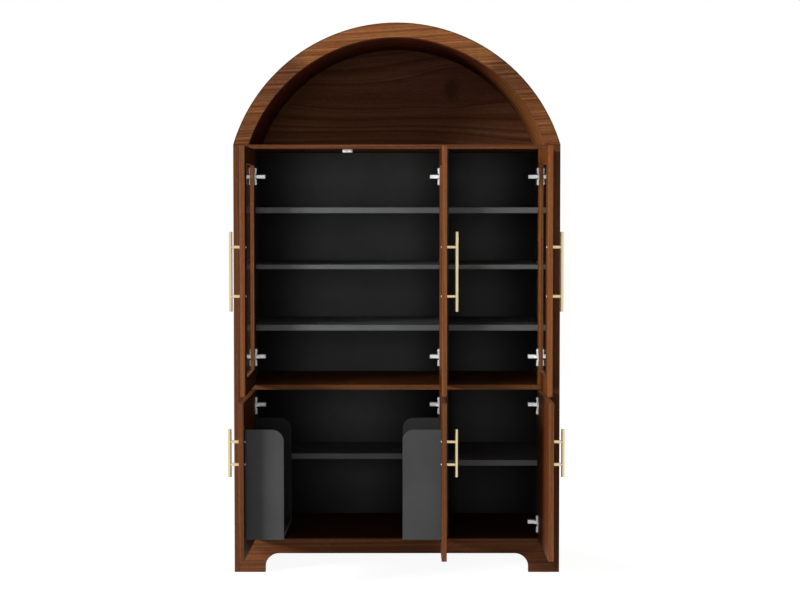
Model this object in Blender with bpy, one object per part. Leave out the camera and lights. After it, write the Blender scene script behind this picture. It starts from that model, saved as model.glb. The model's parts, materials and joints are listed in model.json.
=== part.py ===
"""Arched display cabinet with an open niche, shelved compartments and six doors on concealed hinges.

Metres, +Z up. The front faces -Y and the doors stand open, as they do while the cabinet is being filled.
The origin is on the floor, under the middle of the whole object with its doors open.
"""

import math

import bmesh
import bpy

# Carcass, over all
WIDTH = 1.200
HEIGHT = 2.024
DEPTH = 0.450
SPRING_HEIGHT = 1.5785
MID_BOARD_TOP = 0.695
BASE_HEIGHT = 0.124

# Boards of the carcass
FRAME_FACE = 0.054
SIDE_PANEL = 0.020
STILE_DEPTH = 0.040
INNER_WALL = 0.015
BOARD = 0.018
NICHE_BOARD = 0.0155
BACK_PANEL = 0.008

# Arched top
RING_DEPTH = 0.037
BENT_PLY = 0.012
REAR_RING_DEPTH = 0.036
ARCH_STEPS = 56

# Base
LEG_WIDTH = 0.114
FOOT_CUT_HEIGHT = 0.070
FOOT_CUT_RADIUS = 0.051
BACK_RAIL_INSET = 0.030

# Shelves, each height taken from the board below its compartment
SHELF = 0.021
FIXED_SHELF = 0.016
SHELF_SETBACK = 0.035
SHORT_SHELF_SETBACK = 0.175
LOW_SHELF_RISE = 0.218
FIXED_SHELF_RISE = 0.441
TOP_SHELF_RISE = 0.653
CUPBOARD_SHELF_RISE = 0.286

# Doors
DOOR = 0.018
DOOR_GAP = 0.0025
DOOR_REVEAL = 0.002
FRAME_MEMBER = 0.060
GLASS = 0.004
GLASS_SEAT = 0.010
OPEN_ANGLE = math.radians(90)
LOWER_SIDE_ANGLE = math.radians(91)

# Concealed hinges: the pivot is measured from the door's hinge edge and from its front face
PIVOT_FROM_EDGE = 0.0095
PIVOT_DEPTH = 0.0035
UPPER_HINGE_FROM_END = 0.100
LOWER_HINGE_FROM_END = 0.056
CUP_FROM_EDGE = 0.0225
CUP_RADIUS = 0.0165
CUP_DEPTH = 0.012
RIM_WIDTH = 0.0025
FLANGE = 0.0018
FLANGE_HEIGHT = 0.064
FLANGE_WIDTH = 0.012
ARM_HEIGHT = 0.011
ARM_THICKNESS = 0.012
ARM_LENGTH = 0.040
NOSE_HEIGHT = 0.0132
NOSE_REACH = 0.0485
NOSE_DEPTH = 0.020
NOSE_TIP = 0.026
NOSE_TIP_ARC = (25, 58)
NOSE_TIP_STEPS = 5
MOUNT_PLATE = 0.008
MOUNT_PLATE_HEIGHT = 0.044
MOUNT_PLATE_LENGTH = 0.032
SWING_CLEARANCE = 0.0015

# Bar handles
BAR_RADIUS = 0.006
POST_RADIUS = 0.005
BAR_STAND_OFF = 0.034
HANDLE_FROM_EDGE = 0.030
UPPER_BAR = 0.276
UPPER_POST_SPACING = 0.170
UPPER_HANDLE_RISE = 0.430
LOWER_BAR = 0.166
LOWER_POST_SPACING = 0.079
LOWER_HANDLE_DROP = 0.177

# Racks on two of the lower doors
RACK_DEPTH = 0.134
RACK_PANEL = 0.012
RACK_FROM_HINGE_EDGE = 0.040
RACK_FROM_FREE_EDGE = 0.037
RACK_FROM_BOTTOM = 0.068
RACK_FROM_TOP = 0.097
RACK_CORNER = 0.040
RACK_STEP = 0.002
RACK_TIER_RISE = 0.190
RACK_TIER_SETBACK = 0.030
RACK_RAIL = 0.010
RACK_RAIL_HEIGHT = 0.016
RACK_RAIL_RISE = 0.055
RACK_RAIL_SETBACK = 0.027

# Magnetic catch under the niche board
CATCH_WIDTH = 0.036
CATCH_HEIGHT = 0.012
CATCH_LENGTH = 0.028
CATCH_NOSE_RADIUS = 0.0042
CATCH_NOSE = 0.003
CATCH_NOSE_SPACING = 0.018

# Fits
GAP = 0.0003
EASE = 0.0006
SHARP_ANGLE = math.radians(40)
ROUND_SIDES = 24
POST_SIDES = 12
ARC_STEPS = 10

# Places worked out from the sizes
HALF_WIDTH = WIDTH / 2
CLEAR_HALF = HALF_WIDTH - FRAME_FACE
NICHE_UNDER = SPRING_HEIGHT - NICHE_BOARD
MID_BOARD_UNDER = MID_BOARD_TOP - BOARD
INSIDE_BACK = DEPTH - BACK_PANEL
ARCH_RISE = HEIGHT - SPRING_HEIGHT
ARCH_RADIUS = (HALF_WIDTH**2 + ARCH_RISE**2) / (2 * ARCH_RISE)
ARCH_CENTRE = HEIGHT - ARCH_RADIUS
RING_INNER_RADIUS = ARCH_RADIUS - FRAME_FACE
DOOR_WIDTH = (2 * CLEAR_HALF - 4 * DOOR_GAP) / 3
PIVOT_FROM_WALL = DOOR_GAP + PIVOT_FROM_EDGE
LEFT_PIVOT_X = -CLEAR_HALF + PIVOT_FROM_WALL
RIGHT_PIVOT_X = CLEAR_HALF - PIVOT_FROM_WALL
DIVIDER_X = CLEAR_HALF - DOOR_GAP - DOOR_WIDTH - DOOR_GAP / 2
MIDDLE_PIVOT_X = DIVIDER_X - DOOR_GAP / 2 - PIVOT_FROM_EDGE
DIVIDER_LEFT = DIVIDER_X - BOARD / 2
DIVIDER_RIGHT = DIVIDER_X + BOARD / 2
INNER_FACE = DOOR - PIVOT_DEPTH
FREE_EDGE = DOOR_WIDTH - PIVOT_FROM_EDGE
CORNER_SWING = math.hypot(PIVOT_FROM_EDGE, INNER_FACE)
DIVIDER_SETBACK = PIVOT_DEPTH + CORNER_SWING + SWING_CLEARANCE
CUP_CENTRE = CUP_FROM_EDGE - PIVOT_FROM_EDGE
NOSE_NEAR = INNER_FACE + FLANGE + SWING_CLEARANCE
NOSE_FAR = NOSE_NEAR + NOSE_DEPTH
UPPER_DOOR = (MID_BOARD_TOP + DOOR_REVEAL, NICHE_UNDER - DOOR_REVEAL)
LOWER_DOOR = (BASE_HEIGHT + DOOR_REVEAL, MID_BOARD_UNDER - DOOR_REVEAL)


def door_reach(angle):
    """How far the free edge of a door at this angle stands in front of the front frame."""
    corners = (-PIVOT_DEPTH, INNER_FACE)
    forward = max(FREE_EDGE * math.sin(angle) - depth * math.cos(angle) for depth in corners)
    return forward - PIVOT_DEPTH


FRONT_Y = (max(door_reach(OPEN_ANGLE), door_reach(LOWER_SIDE_ANGLE)) - DEPTH) / 2


def clear_scene():
    for obj in list(bpy.data.objects):
        bpy.data.objects.remove(obj, do_unlink=True)


def finish(name, colour, roughness, metallic=0.0, transmission=0.0):
    """A Principled material in the colour of one of the cabinet's finishes."""
    made = bpy.data.materials.new(name)
    made.use_nodes = True
    made.diffuse_color = (*colour, 1.0)
    shader = made.node_tree.nodes["Principled BSDF"]
    shader.inputs["Base Color"].default_value = (*colour, 1.0)
    shader.inputs["Roughness"].default_value = roughness
    shader.inputs["Metallic"].default_value = metallic
    shader.inputs["Transmission Weight"].default_value = transmission
    return made


def empty(name, parent=None):
    """A frame that pieces are placed in: the carcass, or a door's hinge axis."""
    made = bpy.data.objects.new(name, None)
    bpy.context.scene.collection.objects.link(made)
    made.parent = parent
    return made


def piece(name, shape, parent, material=None):
    """An object from a bmesh. Without a material it is a helper that only cuts or joins."""
    mesh = bpy.data.meshes.new(name)
    bmesh.ops.recalc_face_normals(shape, faces=shape.faces)
    shape.to_mesh(mesh)
    shape.free()
    made = bpy.data.objects.new(name, mesh)
    bpy.context.scene.collection.objects.link(made)
    made.parent = parent
    if material:
        mesh.materials.append(material)
    else:
        made.hide_render = True
        made.display_type = "WIRE"
    return made


def ease_edges(obj):
    """A small chamfer on the sharp edges, as sanding leaves."""
    bevel = obj.modifiers.new("eased edges", "BEVEL")
    bevel.width = EASE
    bevel.segments = 1
    bevel.limit_method = "ANGLE"
    bevel.angle_limit = SHARP_ANGLE


def combine(target, helper, operation):
    step = target.modifiers.new(helper.name, "BOOLEAN")
    step.operation = operation
    step.solver = "EXACT"
    step.object = helper


def shade_round(obj):
    obj.data.shade_smooth()
    obj.data.set_sharp_from_angle(angle=SHARP_ANGLE)


def slab_shape(low, high):
    shape = bmesh.new()
    bmesh.ops.create_cube(shape, size=1.0)
    size = [top - bottom for bottom, top in zip(low, high)]
    middle = [(top + bottom) / 2 for bottom, top in zip(low, high)]
    bmesh.ops.scale(shape, vec=size, verts=shape.verts)
    bmesh.ops.translate(shape, vec=middle, verts=shape.verts)
    return shape


def slab(name, low, high, parent, material=None):
    """A board between two corners, given in its parent's frame."""
    low, high = [min(pair) for pair in zip(low, high)], [max(pair) for pair in zip(low, high)]
    made = piece(name, slab_shape(low, high), parent, material)
    if material:
        ease_edges(made)
    return made


def extruded_shape(outline, low, high, axes):
    """An outline drawn on two axes, extruded from low to high along the third."""
    first, second = ("xyz".index(letter) for letter in axes)
    third = 3 - first - second
    shape = bmesh.new()
    corners = []
    for a, b in outline:
        spot = [0.0, 0.0, 0.0]
        spot[first] = a
        spot[second] = b
        spot[third] = low
        corners.append(shape.verts.new(spot))
    face = shape.faces.new(corners)
    raised = bmesh.ops.extrude_face_region(shape, geom=[face])
    travel = [0.0, 0.0, 0.0]
    travel[third] = high - low
    moved = [item for item in raised["geom"] if isinstance(item, bmesh.types.BMVert)]
    bmesh.ops.translate(shape, vec=travel, verts=moved)
    return shape


def rod_shape(centre, radius, low, high, axis, sides=ROUND_SIDES):
    """A round rod along x, y or z. centre gives the other two coordinates, in order."""
    others = [letter for letter in "xyz" if letter != axis]
    turn = [2 * math.pi * (step + 0.5) / sides for step in range(sides)]
    outline = [(centre[0] + radius * math.cos(a), centre[1] + radius * math.sin(a)) for a in turn]
    return extruded_shape(outline, low, high, "".join(others))


def arc(centre, radius, start, end, steps):
    """Points along an arc, angles in degrees."""
    angles = [math.radians(start + (end - start) * step / steps) for step in range(steps + 1)]
    return [(centre[0] + radius * math.cos(a), centre[1] + radius * math.sin(a)) for a in angles]


def arch_points(radius, foot):
    """Points of a circle about the arch's centre, from its right foot over the crown to its left foot."""
    start = math.degrees(math.asin((foot - ARCH_CENTRE) / radius))
    return arc((0.0, ARCH_CENTRE), radius, start, 180 - start, ARCH_STEPS)


def arch_band(name, inner_radius, outer_radius, front, back, parent, material):
    """A bent band of the arched top, level at its two feet."""
    foot = SPRING_HEIGHT + GAP
    rims = [arch_points(inner_radius, foot), arch_points(outer_radius, foot)]
    shape = bmesh.new()
    rows = []
    for step in range(ARCH_STEPS + 1):
        inner, outer = rims[0][step], rims[1][step]
        corners = [(inner, front), (outer, front), (outer, back), (inner, back)]
        rows.append([shape.verts.new((x, y, z)) for (x, z), y in corners])
    for here, there in zip(rows, rows[1:]):
        for side in range(4):
            after = (side + 1) % 4
            shape.faces.new((here[side], here[after], there[after], there[side]))
    shape.faces.new(rows[0])
    shape.faces.new(rows[-1])
    return piece(name, shape, parent, material)


def build_sides(carcass, walnut, charcoal):
    """Side panels down to the floor, and inside them the front stiles and the inner walls."""
    for side, word in ((-1, "left"), (1, "right")):
        outside = side * HALF_WIDTH
        lining = side * (HALF_WIDTH - SIDE_PANEL - GAP)
        clear = side * CLEAR_HALF
        top = NICHE_UNDER - GAP
        foot = BASE_HEIGHT + GAP
        slab(
            f"side_panel_{word}",
            (outside, 0.0, 0.0),
            (outside - side * SIDE_PANEL, DEPTH, SPRING_HEIGHT),
            carcass,
            walnut,
        )
        slab(f"front_stile_{word}", (lining, 0.0, foot), (clear, STILE_DEPTH, top), carcass, walnut)
        slab(
            f"inner_wall_{word}",
            (clear + side * INNER_WALL, STILE_DEPTH + GAP, foot),
            (clear, INSIDE_BACK - GAP, top),
            carcass,
            charcoal,
        )


def build_arch(carcass, walnut):
    """The face ring, the bent skins behind it, the ring at the rear and the niche's back."""
    behind_ring = RING_DEPTH + GAP
    lining_outer = RING_INNER_RADIUS + BENT_PLY
    skin_inner = ARCH_RADIUS - BENT_PLY
    back_front = INSIDE_BACK - GAP
    ring = arch_band("arch_face_ring", RING_INNER_RADIUS, ARCH_RADIUS, 0.0, RING_DEPTH, carcass, walnut)
    ease_edges(ring)
    arch_band("arch_outer_skin", skin_inner, ARCH_RADIUS, behind_ring, DEPTH, carcass, walnut)
    arch_band("arch_lining", RING_INNER_RADIUS, lining_outer, behind_ring, back_front, carcass, walnut)
    arch_band(
        "arch_rear_ring",
        lining_outer + GAP,
        skin_inner - GAP,
        back_front - REAR_RING_DEPTH,
        back_front,
        carcass,
        walnut,
    )
    outline = arch_points(skin_inner - GAP, SPRING_HEIGHT + GAP)
    shape = extruded_shape(outline, INSIDE_BACK, DEPTH, "xz")
    piece("niche_back", shape, carcass, walnut)


def build_boards(carcass, walnut, charcoal):
    """The level boards, the dividers that stand on them and the back panels."""
    back = INSIDE_BACK - GAP
    between_sides = HALF_WIDTH - SIDE_PANEL - GAP
    between_walls = CLEAR_HALF - GAP
    slab(
        "niche_board",
        (-between_sides, 0.0, NICHE_UNDER),
        (between_sides, back, SPRING_HEIGHT),
        carcass,
        walnut,
    )
    slab(
        "mid_board",
        (-between_walls, 0.0, MID_BOARD_UNDER),
        (between_walls, back, MID_BOARD_TOP),
        carcass,
        walnut,
    )
    slab(
        "bottom_board",
        (-between_sides, BOARD + GAP, BASE_HEIGHT - BOARD),
        (between_sides, back, BASE_HEIGHT),
        carcass,
        walnut,
    )
    compartments = {
        "upper": (MID_BOARD_TOP + GAP, NICHE_UNDER - GAP),
        "lower": (BASE_HEIGHT + GAP, MID_BOARD_UNDER - GAP),
    }
    for level, (bottom, top) in compartments.items():
        slab(
            f"divider_{level}",
            (DIVIDER_LEFT, DIVIDER_SETBACK, bottom),
            (DIVIDER_RIGHT, back, top),
            carcass,
            charcoal,
        )
    joint = (MID_BOARD_TOP + MID_BOARD_UNDER) / 2
    panels = {
        "lower": (BASE_HEIGHT - BOARD, joint),
        "upper": (joint + GAP, SPRING_HEIGHT),
    }
    for level, (bottom, top) in panels.items():
        slab(
            f"back_panel_{level}",
            (-between_sides, INSIDE_BACK, bottom),
            (between_sides, DEPTH, top),
            carcass,
            charcoal,
        )


def build_base(carcass, walnut):
    """The front rail with its two legs and rounded cut-out, and the plain rail at the back."""
    reach = HALF_WIDTH - SIDE_PANEL - GAP
    leg = HALF_WIDTH - LEG_WIDTH
    bend = leg - FOOT_CUT_RADIUS
    spring = FOOT_CUT_HEIGHT - FOOT_CUT_RADIUS
    outline = [(-reach, 0.0), (-leg, 0.0)]
    outline += arc((-bend, spring), FOOT_CUT_RADIUS, 180, 90, ARC_STEPS)
    outline += arc((bend, spring), FOOT_CUT_RADIUS, 90, 0, ARC_STEPS)
    outline += [(leg, 0.0), (reach, 0.0), (reach, BASE_HEIGHT), (-reach, BASE_HEIGHT)]
    shape = extruded_shape(outline, 0.0, BOARD, "xz")
    ease_edges(piece("base_front_rail", shape, carcass, walnut))
    rear = INSIDE_BACK - BACK_RAIL_INSET
    slab(
        "base_back_rail",
        (-reach, rear - BOARD, 0.0),
        (reach, rear, BASE_HEIGHT - BOARD - GAP),
        carcass,
        walnut,
    )


def build_shelves(carcass, charcoal):
    """Three shelves in each upper compartment and one in each lower one; the left lower one is short."""
    bays = {
        "left": (-CLEAR_HALF + GAP, DIVIDER_LEFT - GAP),
        "right": (DIVIDER_RIGHT + GAP, CLEAR_HALF - GAP),
    }
    rises = {
        "low": (MID_BOARD_TOP + LOW_SHELF_RISE, SHELF),
        "fixed": (MID_BOARD_TOP + FIXED_SHELF_RISE, FIXED_SHELF),
        "top": (MID_BOARD_TOP + TOP_SHELF_RISE, SHELF),
        "cupboard": (BASE_HEIGHT + CUPBOARD_SHELF_RISE, SHELF),
    }
    for side, (start, end) in bays.items():
        for level, (height, thickness) in rises.items():
            short = side == "left" and level == "cupboard"
            front = SHORT_SHELF_SETBACK if short else SHELF_SETBACK
            slab(
                f"shelf_{level}_{side}",
                (start, front, height - thickness),
                (end, INSIDE_BACK - GAP, height),
                carcass,
                charcoal,
            )


def build_catch(carcass, plastic):
    """A double magnetic catch where the left and middle doors meet, with a round nose for each door."""
    middle = -CLEAR_HALF + DOOR_GAP + DOOR_WIDTH + DOOR_GAP / 2
    top = NICHE_UNDER - GAP
    front = DOOR + SWING_CLEARANCE + CATCH_NOSE
    catch = slab(
        "magnetic_catch",
        (middle - CATCH_WIDTH / 2, front, top - CATCH_HEIGHT),
        (middle + CATCH_WIDTH / 2, front + CATCH_LENGTH, top),
        carcass,
        plastic,
    )
    for side in (-1, 1):
        spot = (middle + side * CATCH_NOSE_SPACING / 2, top - CATCH_HEIGHT / 2)
        shape = rod_shape(spot, CATCH_NOSE_RADIUS, front - CATCH_NOSE, front + CATCH_NOSE, "y")
        nose = piece(f"catch_nose_{side}", shape, carcass)
        combine(catch, nose, "UNION")


def arm_outline(wall):
    """Side view from above of a hinge arm, from the pivot: along the closed door, and back from it.

    The tip is rounded about the pivot, so that the door's corner passes it at one even gap. It dips into
    the cup of the closed door. wall is the place of the carcass wall that the mounting plate sits on.
    """
    arm_low = wall + MOUNT_PLATE
    arm_high = arm_low + ARM_THICKNESS
    arm_end = NOSE_FAR + ARM_LENGTH
    return [
        *arc((0.0, 0.0), CORNER_SWING + GAP, *NOSE_TIP_ARC, NOSE_TIP_STEPS),
        (arm_low, NOSE_FAR),
        (arm_low, arm_end),
        (arm_high, arm_end),
        (arm_high, NOSE_FAR + ARM_THICKNESS),
        (NOSE_TIP, NOSE_FAR),
        (NOSE_REACH - EASE, NOSE_FAR - EASE),
        (NOSE_REACH - EASE, NOSE_NEAR + EASE),
        (NOSE_TIP, NOSE_NEAR + EASE),
        (NOSE_TIP, INNER_FACE - CUP_DEPTH / 2),
    ]


def build_hinge_arm(name, carcass, pivot_x, wall_x, hand, height, metal):
    """The fixed half of a hinge: a mounting plate on the wall, the arm and its broad nose."""

    def placed(points):
        return [(pivot_x + hand * along, PIVOT_DEPTH + back) for along, back in points]

    wall = hand * (wall_x - pivot_x) + GAP
    half = ARM_HEIGHT / 2
    shape = extruded_shape(placed(arm_outline(wall)), height - half, height + half, "xy")
    arm = piece(name, shape, carcass, metal)
    corners = [
        (CORNER_SWING + SWING_CLEARANCE, NOSE_NEAR),
        (NOSE_REACH, NOSE_NEAR),
        (NOSE_REACH, NOSE_FAR),
        (CORNER_SWING + SWING_CLEARANCE, NOSE_FAR),
    ]
    half = NOSE_HEIGHT / 2
    nose = piece(f"{name}_nose", extruded_shape(placed(corners), height - half, height + half, "xy"), carcass)
    ease_edges(nose)
    half = MOUNT_PLATE_HEIGHT / 2
    start = NOSE_FAR + ARM_LENGTH - MOUNT_PLATE_LENGTH - EASE
    foot = placed([(wall, start), (wall + MOUNT_PLATE + EASE, start + MOUNT_PLATE_LENGTH)])
    plate = slab(f"{name}_plate", (*foot[0], height - half), (*foot[1], height + half), carcass)
    ease_edges(plate)
    combine(arm, nose, "UNION")
    combine(arm, plate, "UNION")


def fit_hinge_cup(door, pivot, hand, height):
    """The moving half of a hinge: a flange and rim on the door's inner face, round the cup sunk in it."""
    centre = hand * CUP_CENTRE
    lap = FLANGE / 2
    face = (INNER_FACE - lap, INNER_FACE + FLANGE)
    end = FLANGE_HEIGHT / 2 - FLANGE_WIDTH / 2
    outline = arc((centre, height + end), FLANGE_WIDTH / 2, 0, 180, ARC_STEPS)
    outline += arc((centre, height - end), FLANGE_WIDTH / 2, 180, 360, ARC_STEPS)
    label = f"{door.name}_{height:.3f}"
    flange = piece(f"{label}_flange", extruded_shape(outline, *face, "xz"), pivot)
    rim_radius = CUP_RADIUS + RIM_WIDTH
    rim = piece(f"{label}_rim", rod_shape((centre, height), rim_radius, *face, "y"), pivot)
    bore = (INNER_FACE - CUP_DEPTH, INNER_FACE + 2 * FLANGE)
    cup = piece(f"{label}_cup", rod_shape((centre, height), CUP_RADIUS, *bore, "y"), pivot)
    combine(door, flange, "UNION")
    combine(door, rim, "UNION")
    combine(door, cup, "DIFFERENCE")


def door_box(hand, margin, span, depths):
    """Corners of a box on a door, margin inside its two long edges, in the frame of the door's pivot."""
    low = (hand * (margin - PIVOT_FROM_EDGE), depths[0], span[0])
    high = (hand * (FREE_EDGE - margin), depths[1], span[1])
    return low, high


def build_glazed_door(word, pivot, hand, hinges, walnut, glass):
    """An upper door: a frame with a pane held in a groove half way through its thickness."""
    through = (-PIVOT_DEPTH, INNER_FACE)
    bottom, top = UPPER_DOOR
    door = slab(f"door_frame_upper_{word}", *door_box(hand, 0.0, UPPER_DOOR, through), pivot, walnut)
    span = (bottom + FRAME_MEMBER, top - FRAME_MEMBER)
    past = (through[0] - DOOR, through[1] + DOOR)
    window = slab(f"window_cut_{word}", *door_box(hand, FRAME_MEMBER, span, past), pivot)
    seat = FRAME_MEMBER - GLASS_SEAT
    middle = DOOR / 2 - PIVOT_DEPTH
    half = GLASS / 2
    groove_span = (bottom + seat, top - seat)
    groove_depth = (middle - half - GAP, middle + half + GAP)
    groove = slab(f"groove_cut_{word}", *door_box(hand, seat, groove_span, groove_depth), pivot)
    combine(door, window, "DIFFERENCE")
    combine(door, groove, "DIFFERENCE")
    for height in hinges:
        fit_hinge_cup(door, pivot, hand, height)
    edge = seat + GAP
    pane_span = (bottom + edge, top - edge)
    slab(
        f"door_glass_upper_{word}",
        *door_box(hand, edge, pane_span, (middle - half, middle + half)),
        pivot,
        glass,
    )


def build_plain_door(word, pivot, hand, hinges, walnut):
    """A lower door: one flat panel."""
    through = (-PIVOT_DEPTH, INNER_FACE)
    door = slab(f"door_panel_lower_{word}", *door_box(hand, 0.0, LOWER_DOOR, through), pivot, walnut)
    for height in hinges:
        fit_hinge_cup(door, pivot, hand, height)


def build_handle(name, pivot, hand, height, length, spacing, gold):
    """A round bar on two posts, standing off the door's front face."""
    along = hand * (FREE_EDGE - HANDLE_FROM_EDGE)
    stand = -PIVOT_DEPTH - BAR_STAND_OFF
    shape = rod_shape((along, stand), BAR_RADIUS, height - length / 2, height + length / 2, "z")
    bar = piece(name, shape, pivot, gold)
    ease_edges(bar)
    for side in (-1, 1):
        spot = (along, height + side * spacing / 2)
        shape = rod_shape(spot, POST_RADIUS, stand, -PIVOT_DEPTH - GAP, "y", POST_SIDES)
        post = piece(f"{name}_post_{side}", shape, pivot)
        combine(bar, post, "UNION")
    shade_round(bar)


def build_rack(name, pivot, hand, charcoal):
    """A rack on a lower door: two end panels with a rounded corner, two tiers and a rail before each."""
    near = INNER_FACE + GAP
    far = near + RACK_DEPTH
    bottom = LOWER_DOOR[0] + RACK_FROM_BOTTOM
    top = LOWER_DOOR[1] - RACK_FROM_TOP
    outline = [(near, bottom), (far, bottom)]
    outline += arc((far - RACK_CORNER, top - RACK_CORNER), RACK_CORNER, 0, 90, ARC_STEPS)
    outline += [(near, top)]
    start = RACK_FROM_HINGE_EDGE - PIVOT_FROM_EDGE
    end = FREE_EDGE - RACK_FROM_FREE_EDGE
    ends = ((start, start + RACK_PANEL), (end - RACK_PANEL, end))
    panels = [extruded_shape(outline, hand * low, hand * high, "yz") for low, high in ends]
    rack = piece(name, panels[0], pivot, charcoal)
    ease_edges(rack)
    other = piece(f"{name}_end", panels[1], pivot)
    ease_edges(other)
    combine(rack, other, "UNION")
    lap = RACK_PANEL / 2
    span = (hand * (start + lap), hand * (end - lap))
    tiers = {
        "bottom": (bottom + RACK_STEP, far - RACK_STEP),
        "upper": (bottom + RACK_TIER_RISE, far - RACK_TIER_SETBACK),
    }
    rail_far = far - RACK_RAIL_SETBACK
    for word, (floor, front) in tiers.items():
        rail_low = floor + RACK_PANEL + RACK_RAIL_RISE
        boards = {
            "tier": ((near + RACK_STEP, floor), (front, floor + RACK_PANEL)),
            "rail": ((rail_far - RACK_RAIL, rail_low), (rail_far, rail_low + RACK_RAIL_HEIGHT)),
        }
        for kind, (low, high) in boards.items():
            part = slab(f"{name}_{word}_{kind}", (span[0], *low), (span[1], *high), pivot)
            combine(rack, part, "UNION")


def build_doors(carcass, walnut, charcoal, glass, gold, nickel):
    """Six doors, each about its own hinge axis, and the hinge arms that carry them."""
    columns = {
        "left": (LEFT_PIVOT_X, -CLEAR_HALF, 1),
        "middle": (MIDDLE_PIVOT_X, DIVIDER_LEFT, -1),
        "right": (RIGHT_PIVOT_X, CLEAR_HALF, -1),
    }
    hinge_heights = {
        "upper": (UPPER_DOOR[0] + UPPER_HINGE_FROM_END, UPPER_DOOR[1] - UPPER_HINGE_FROM_END),
        "lower": (LOWER_DOOR[0] + LOWER_HINGE_FROM_END, LOWER_DOOR[1] - LOWER_HINGE_FROM_END),
    }
    for word, (pivot_x, wall_x, hand) in columns.items():
        for level, hinges in hinge_heights.items():
            leans_out = level == "lower" and word != "middle"
            pivot = empty(f"pivot_{level}_{word}", carcass)
            pivot.location = (pivot_x, PIVOT_DEPTH, 0.0)
            pivot.rotation_euler.z = -hand * (LOWER_SIDE_ANGLE if leans_out else OPEN_ANGLE)
            for place, height in zip(("bottom", "top"), hinges):
                arm_name = f"hinge_arm_{level}_{word}_{place}"
                build_hinge_arm(arm_name, carcass, pivot_x, wall_x, hand, height, nickel)
            handle_name = f"handle_{level}_{word}"
            if level == "upper":
                build_glazed_door(word, pivot, hand, hinges, walnut, glass)
                centre = UPPER_DOOR[0] + UPPER_HANDLE_RISE
                build_handle(handle_name, pivot, hand, centre, UPPER_BAR, UPPER_POST_SPACING, gold)
            else:
                build_plain_door(word, pivot, hand, hinges, walnut)
                centre = LOWER_DOOR[1] - LOWER_HANDLE_DROP
                build_handle(handle_name, pivot, hand, centre, LOWER_BAR, LOWER_POST_SPACING, gold)
                if word != "right":
                    build_rack(f"rack_{word}", pivot, hand, charcoal)


def main():
    clear_scene()
    walnut = finish("walnut", (0.145, 0.066, 0.032), 0.45)
    charcoal = finish("charcoal", (0.045, 0.045, 0.047), 0.55)
    glass = finish("clear glass", (0.92, 0.95, 0.94), 0.03, transmission=1.0)
    gold = finish("satin gold", (0.80, 0.62, 0.33), 0.28, metallic=1.0)
    nickel = finish("nickel", (0.72, 0.72, 0.72), 0.30, metallic=1.0)
    plastic = finish("white plastic", (0.80, 0.80, 0.78), 0.45)
    carcass = empty("carcass")
    carcass.location = (0.0, FRONT_Y, 0.0)
    build_sides(carcass, walnut, charcoal)
    build_arch(carcass, walnut)
    build_boards(carcass, walnut, charcoal)
    build_base(carcass, walnut)
    build_shelves(carcass, charcoal)
    build_catch(carcass, plastic)
    build_doors(carcass, walnut, charcoal, glass, gold, nickel)


main()
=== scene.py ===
# %% [markdown]
# # An arched walnut display cabinet
# The cabinet stands with all six doors open, so that its shelves, racks and hinges can be seen. The packed
# solids give every board its place and its size. This lesson gives the boards their veneer and lacquer, adds
# the small hardware that holds such a cabinet together, and then lights it like a catalogue picture.

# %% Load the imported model
import json
import math

import bmesh
import bpy
import numpy as np
from mathutils import Matrix, Vector

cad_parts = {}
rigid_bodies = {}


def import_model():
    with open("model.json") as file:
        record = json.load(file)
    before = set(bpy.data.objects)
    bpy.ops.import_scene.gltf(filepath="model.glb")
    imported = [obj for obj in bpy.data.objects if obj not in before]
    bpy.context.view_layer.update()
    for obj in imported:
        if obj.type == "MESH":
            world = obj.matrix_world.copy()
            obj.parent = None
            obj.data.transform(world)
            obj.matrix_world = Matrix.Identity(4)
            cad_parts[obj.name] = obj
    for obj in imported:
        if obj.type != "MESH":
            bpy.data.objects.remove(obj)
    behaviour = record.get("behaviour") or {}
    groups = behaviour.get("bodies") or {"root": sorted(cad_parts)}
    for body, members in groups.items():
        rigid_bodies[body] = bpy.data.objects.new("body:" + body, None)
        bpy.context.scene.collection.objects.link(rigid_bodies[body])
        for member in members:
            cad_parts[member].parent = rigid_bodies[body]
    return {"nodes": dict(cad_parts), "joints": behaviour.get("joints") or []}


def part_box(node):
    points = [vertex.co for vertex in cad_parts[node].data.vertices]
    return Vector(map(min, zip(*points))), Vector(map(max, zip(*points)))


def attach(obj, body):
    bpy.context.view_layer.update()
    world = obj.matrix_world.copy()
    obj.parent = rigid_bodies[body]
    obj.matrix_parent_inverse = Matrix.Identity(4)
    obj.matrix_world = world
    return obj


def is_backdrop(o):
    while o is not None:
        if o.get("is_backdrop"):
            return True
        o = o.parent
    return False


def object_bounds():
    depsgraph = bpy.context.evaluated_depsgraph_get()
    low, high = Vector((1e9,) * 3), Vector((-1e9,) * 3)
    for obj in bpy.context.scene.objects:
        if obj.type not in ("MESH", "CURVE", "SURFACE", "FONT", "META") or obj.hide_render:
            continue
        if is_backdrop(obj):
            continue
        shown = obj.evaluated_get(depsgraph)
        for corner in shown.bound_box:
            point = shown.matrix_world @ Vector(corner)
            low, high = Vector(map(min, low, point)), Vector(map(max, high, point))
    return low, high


for startup in list(bpy.data.objects):
    bpy.data.objects.remove(startup)
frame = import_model()
nodes = frame["nodes"]
cad_low, cad_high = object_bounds()
print("solids:", len(nodes), "box in metres:", [round(v, 4) for v in (*cad_low, *cad_high)])

# %% [markdown]
# ## The camera
# The picture was taken from straight in front, so upright edges stay upright. Two measures fix the lens:
# how many pixels a metre takes at the front of the cabinet, and how far away the camera stands, which the
# slant of the open doors gives away. A lens shift alone could put the horizon above the middle of the
# picture. A smaller shift with a slight downward tilt is used here, because the shift stays when the cabinet
# is looked at from other sides.

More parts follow.
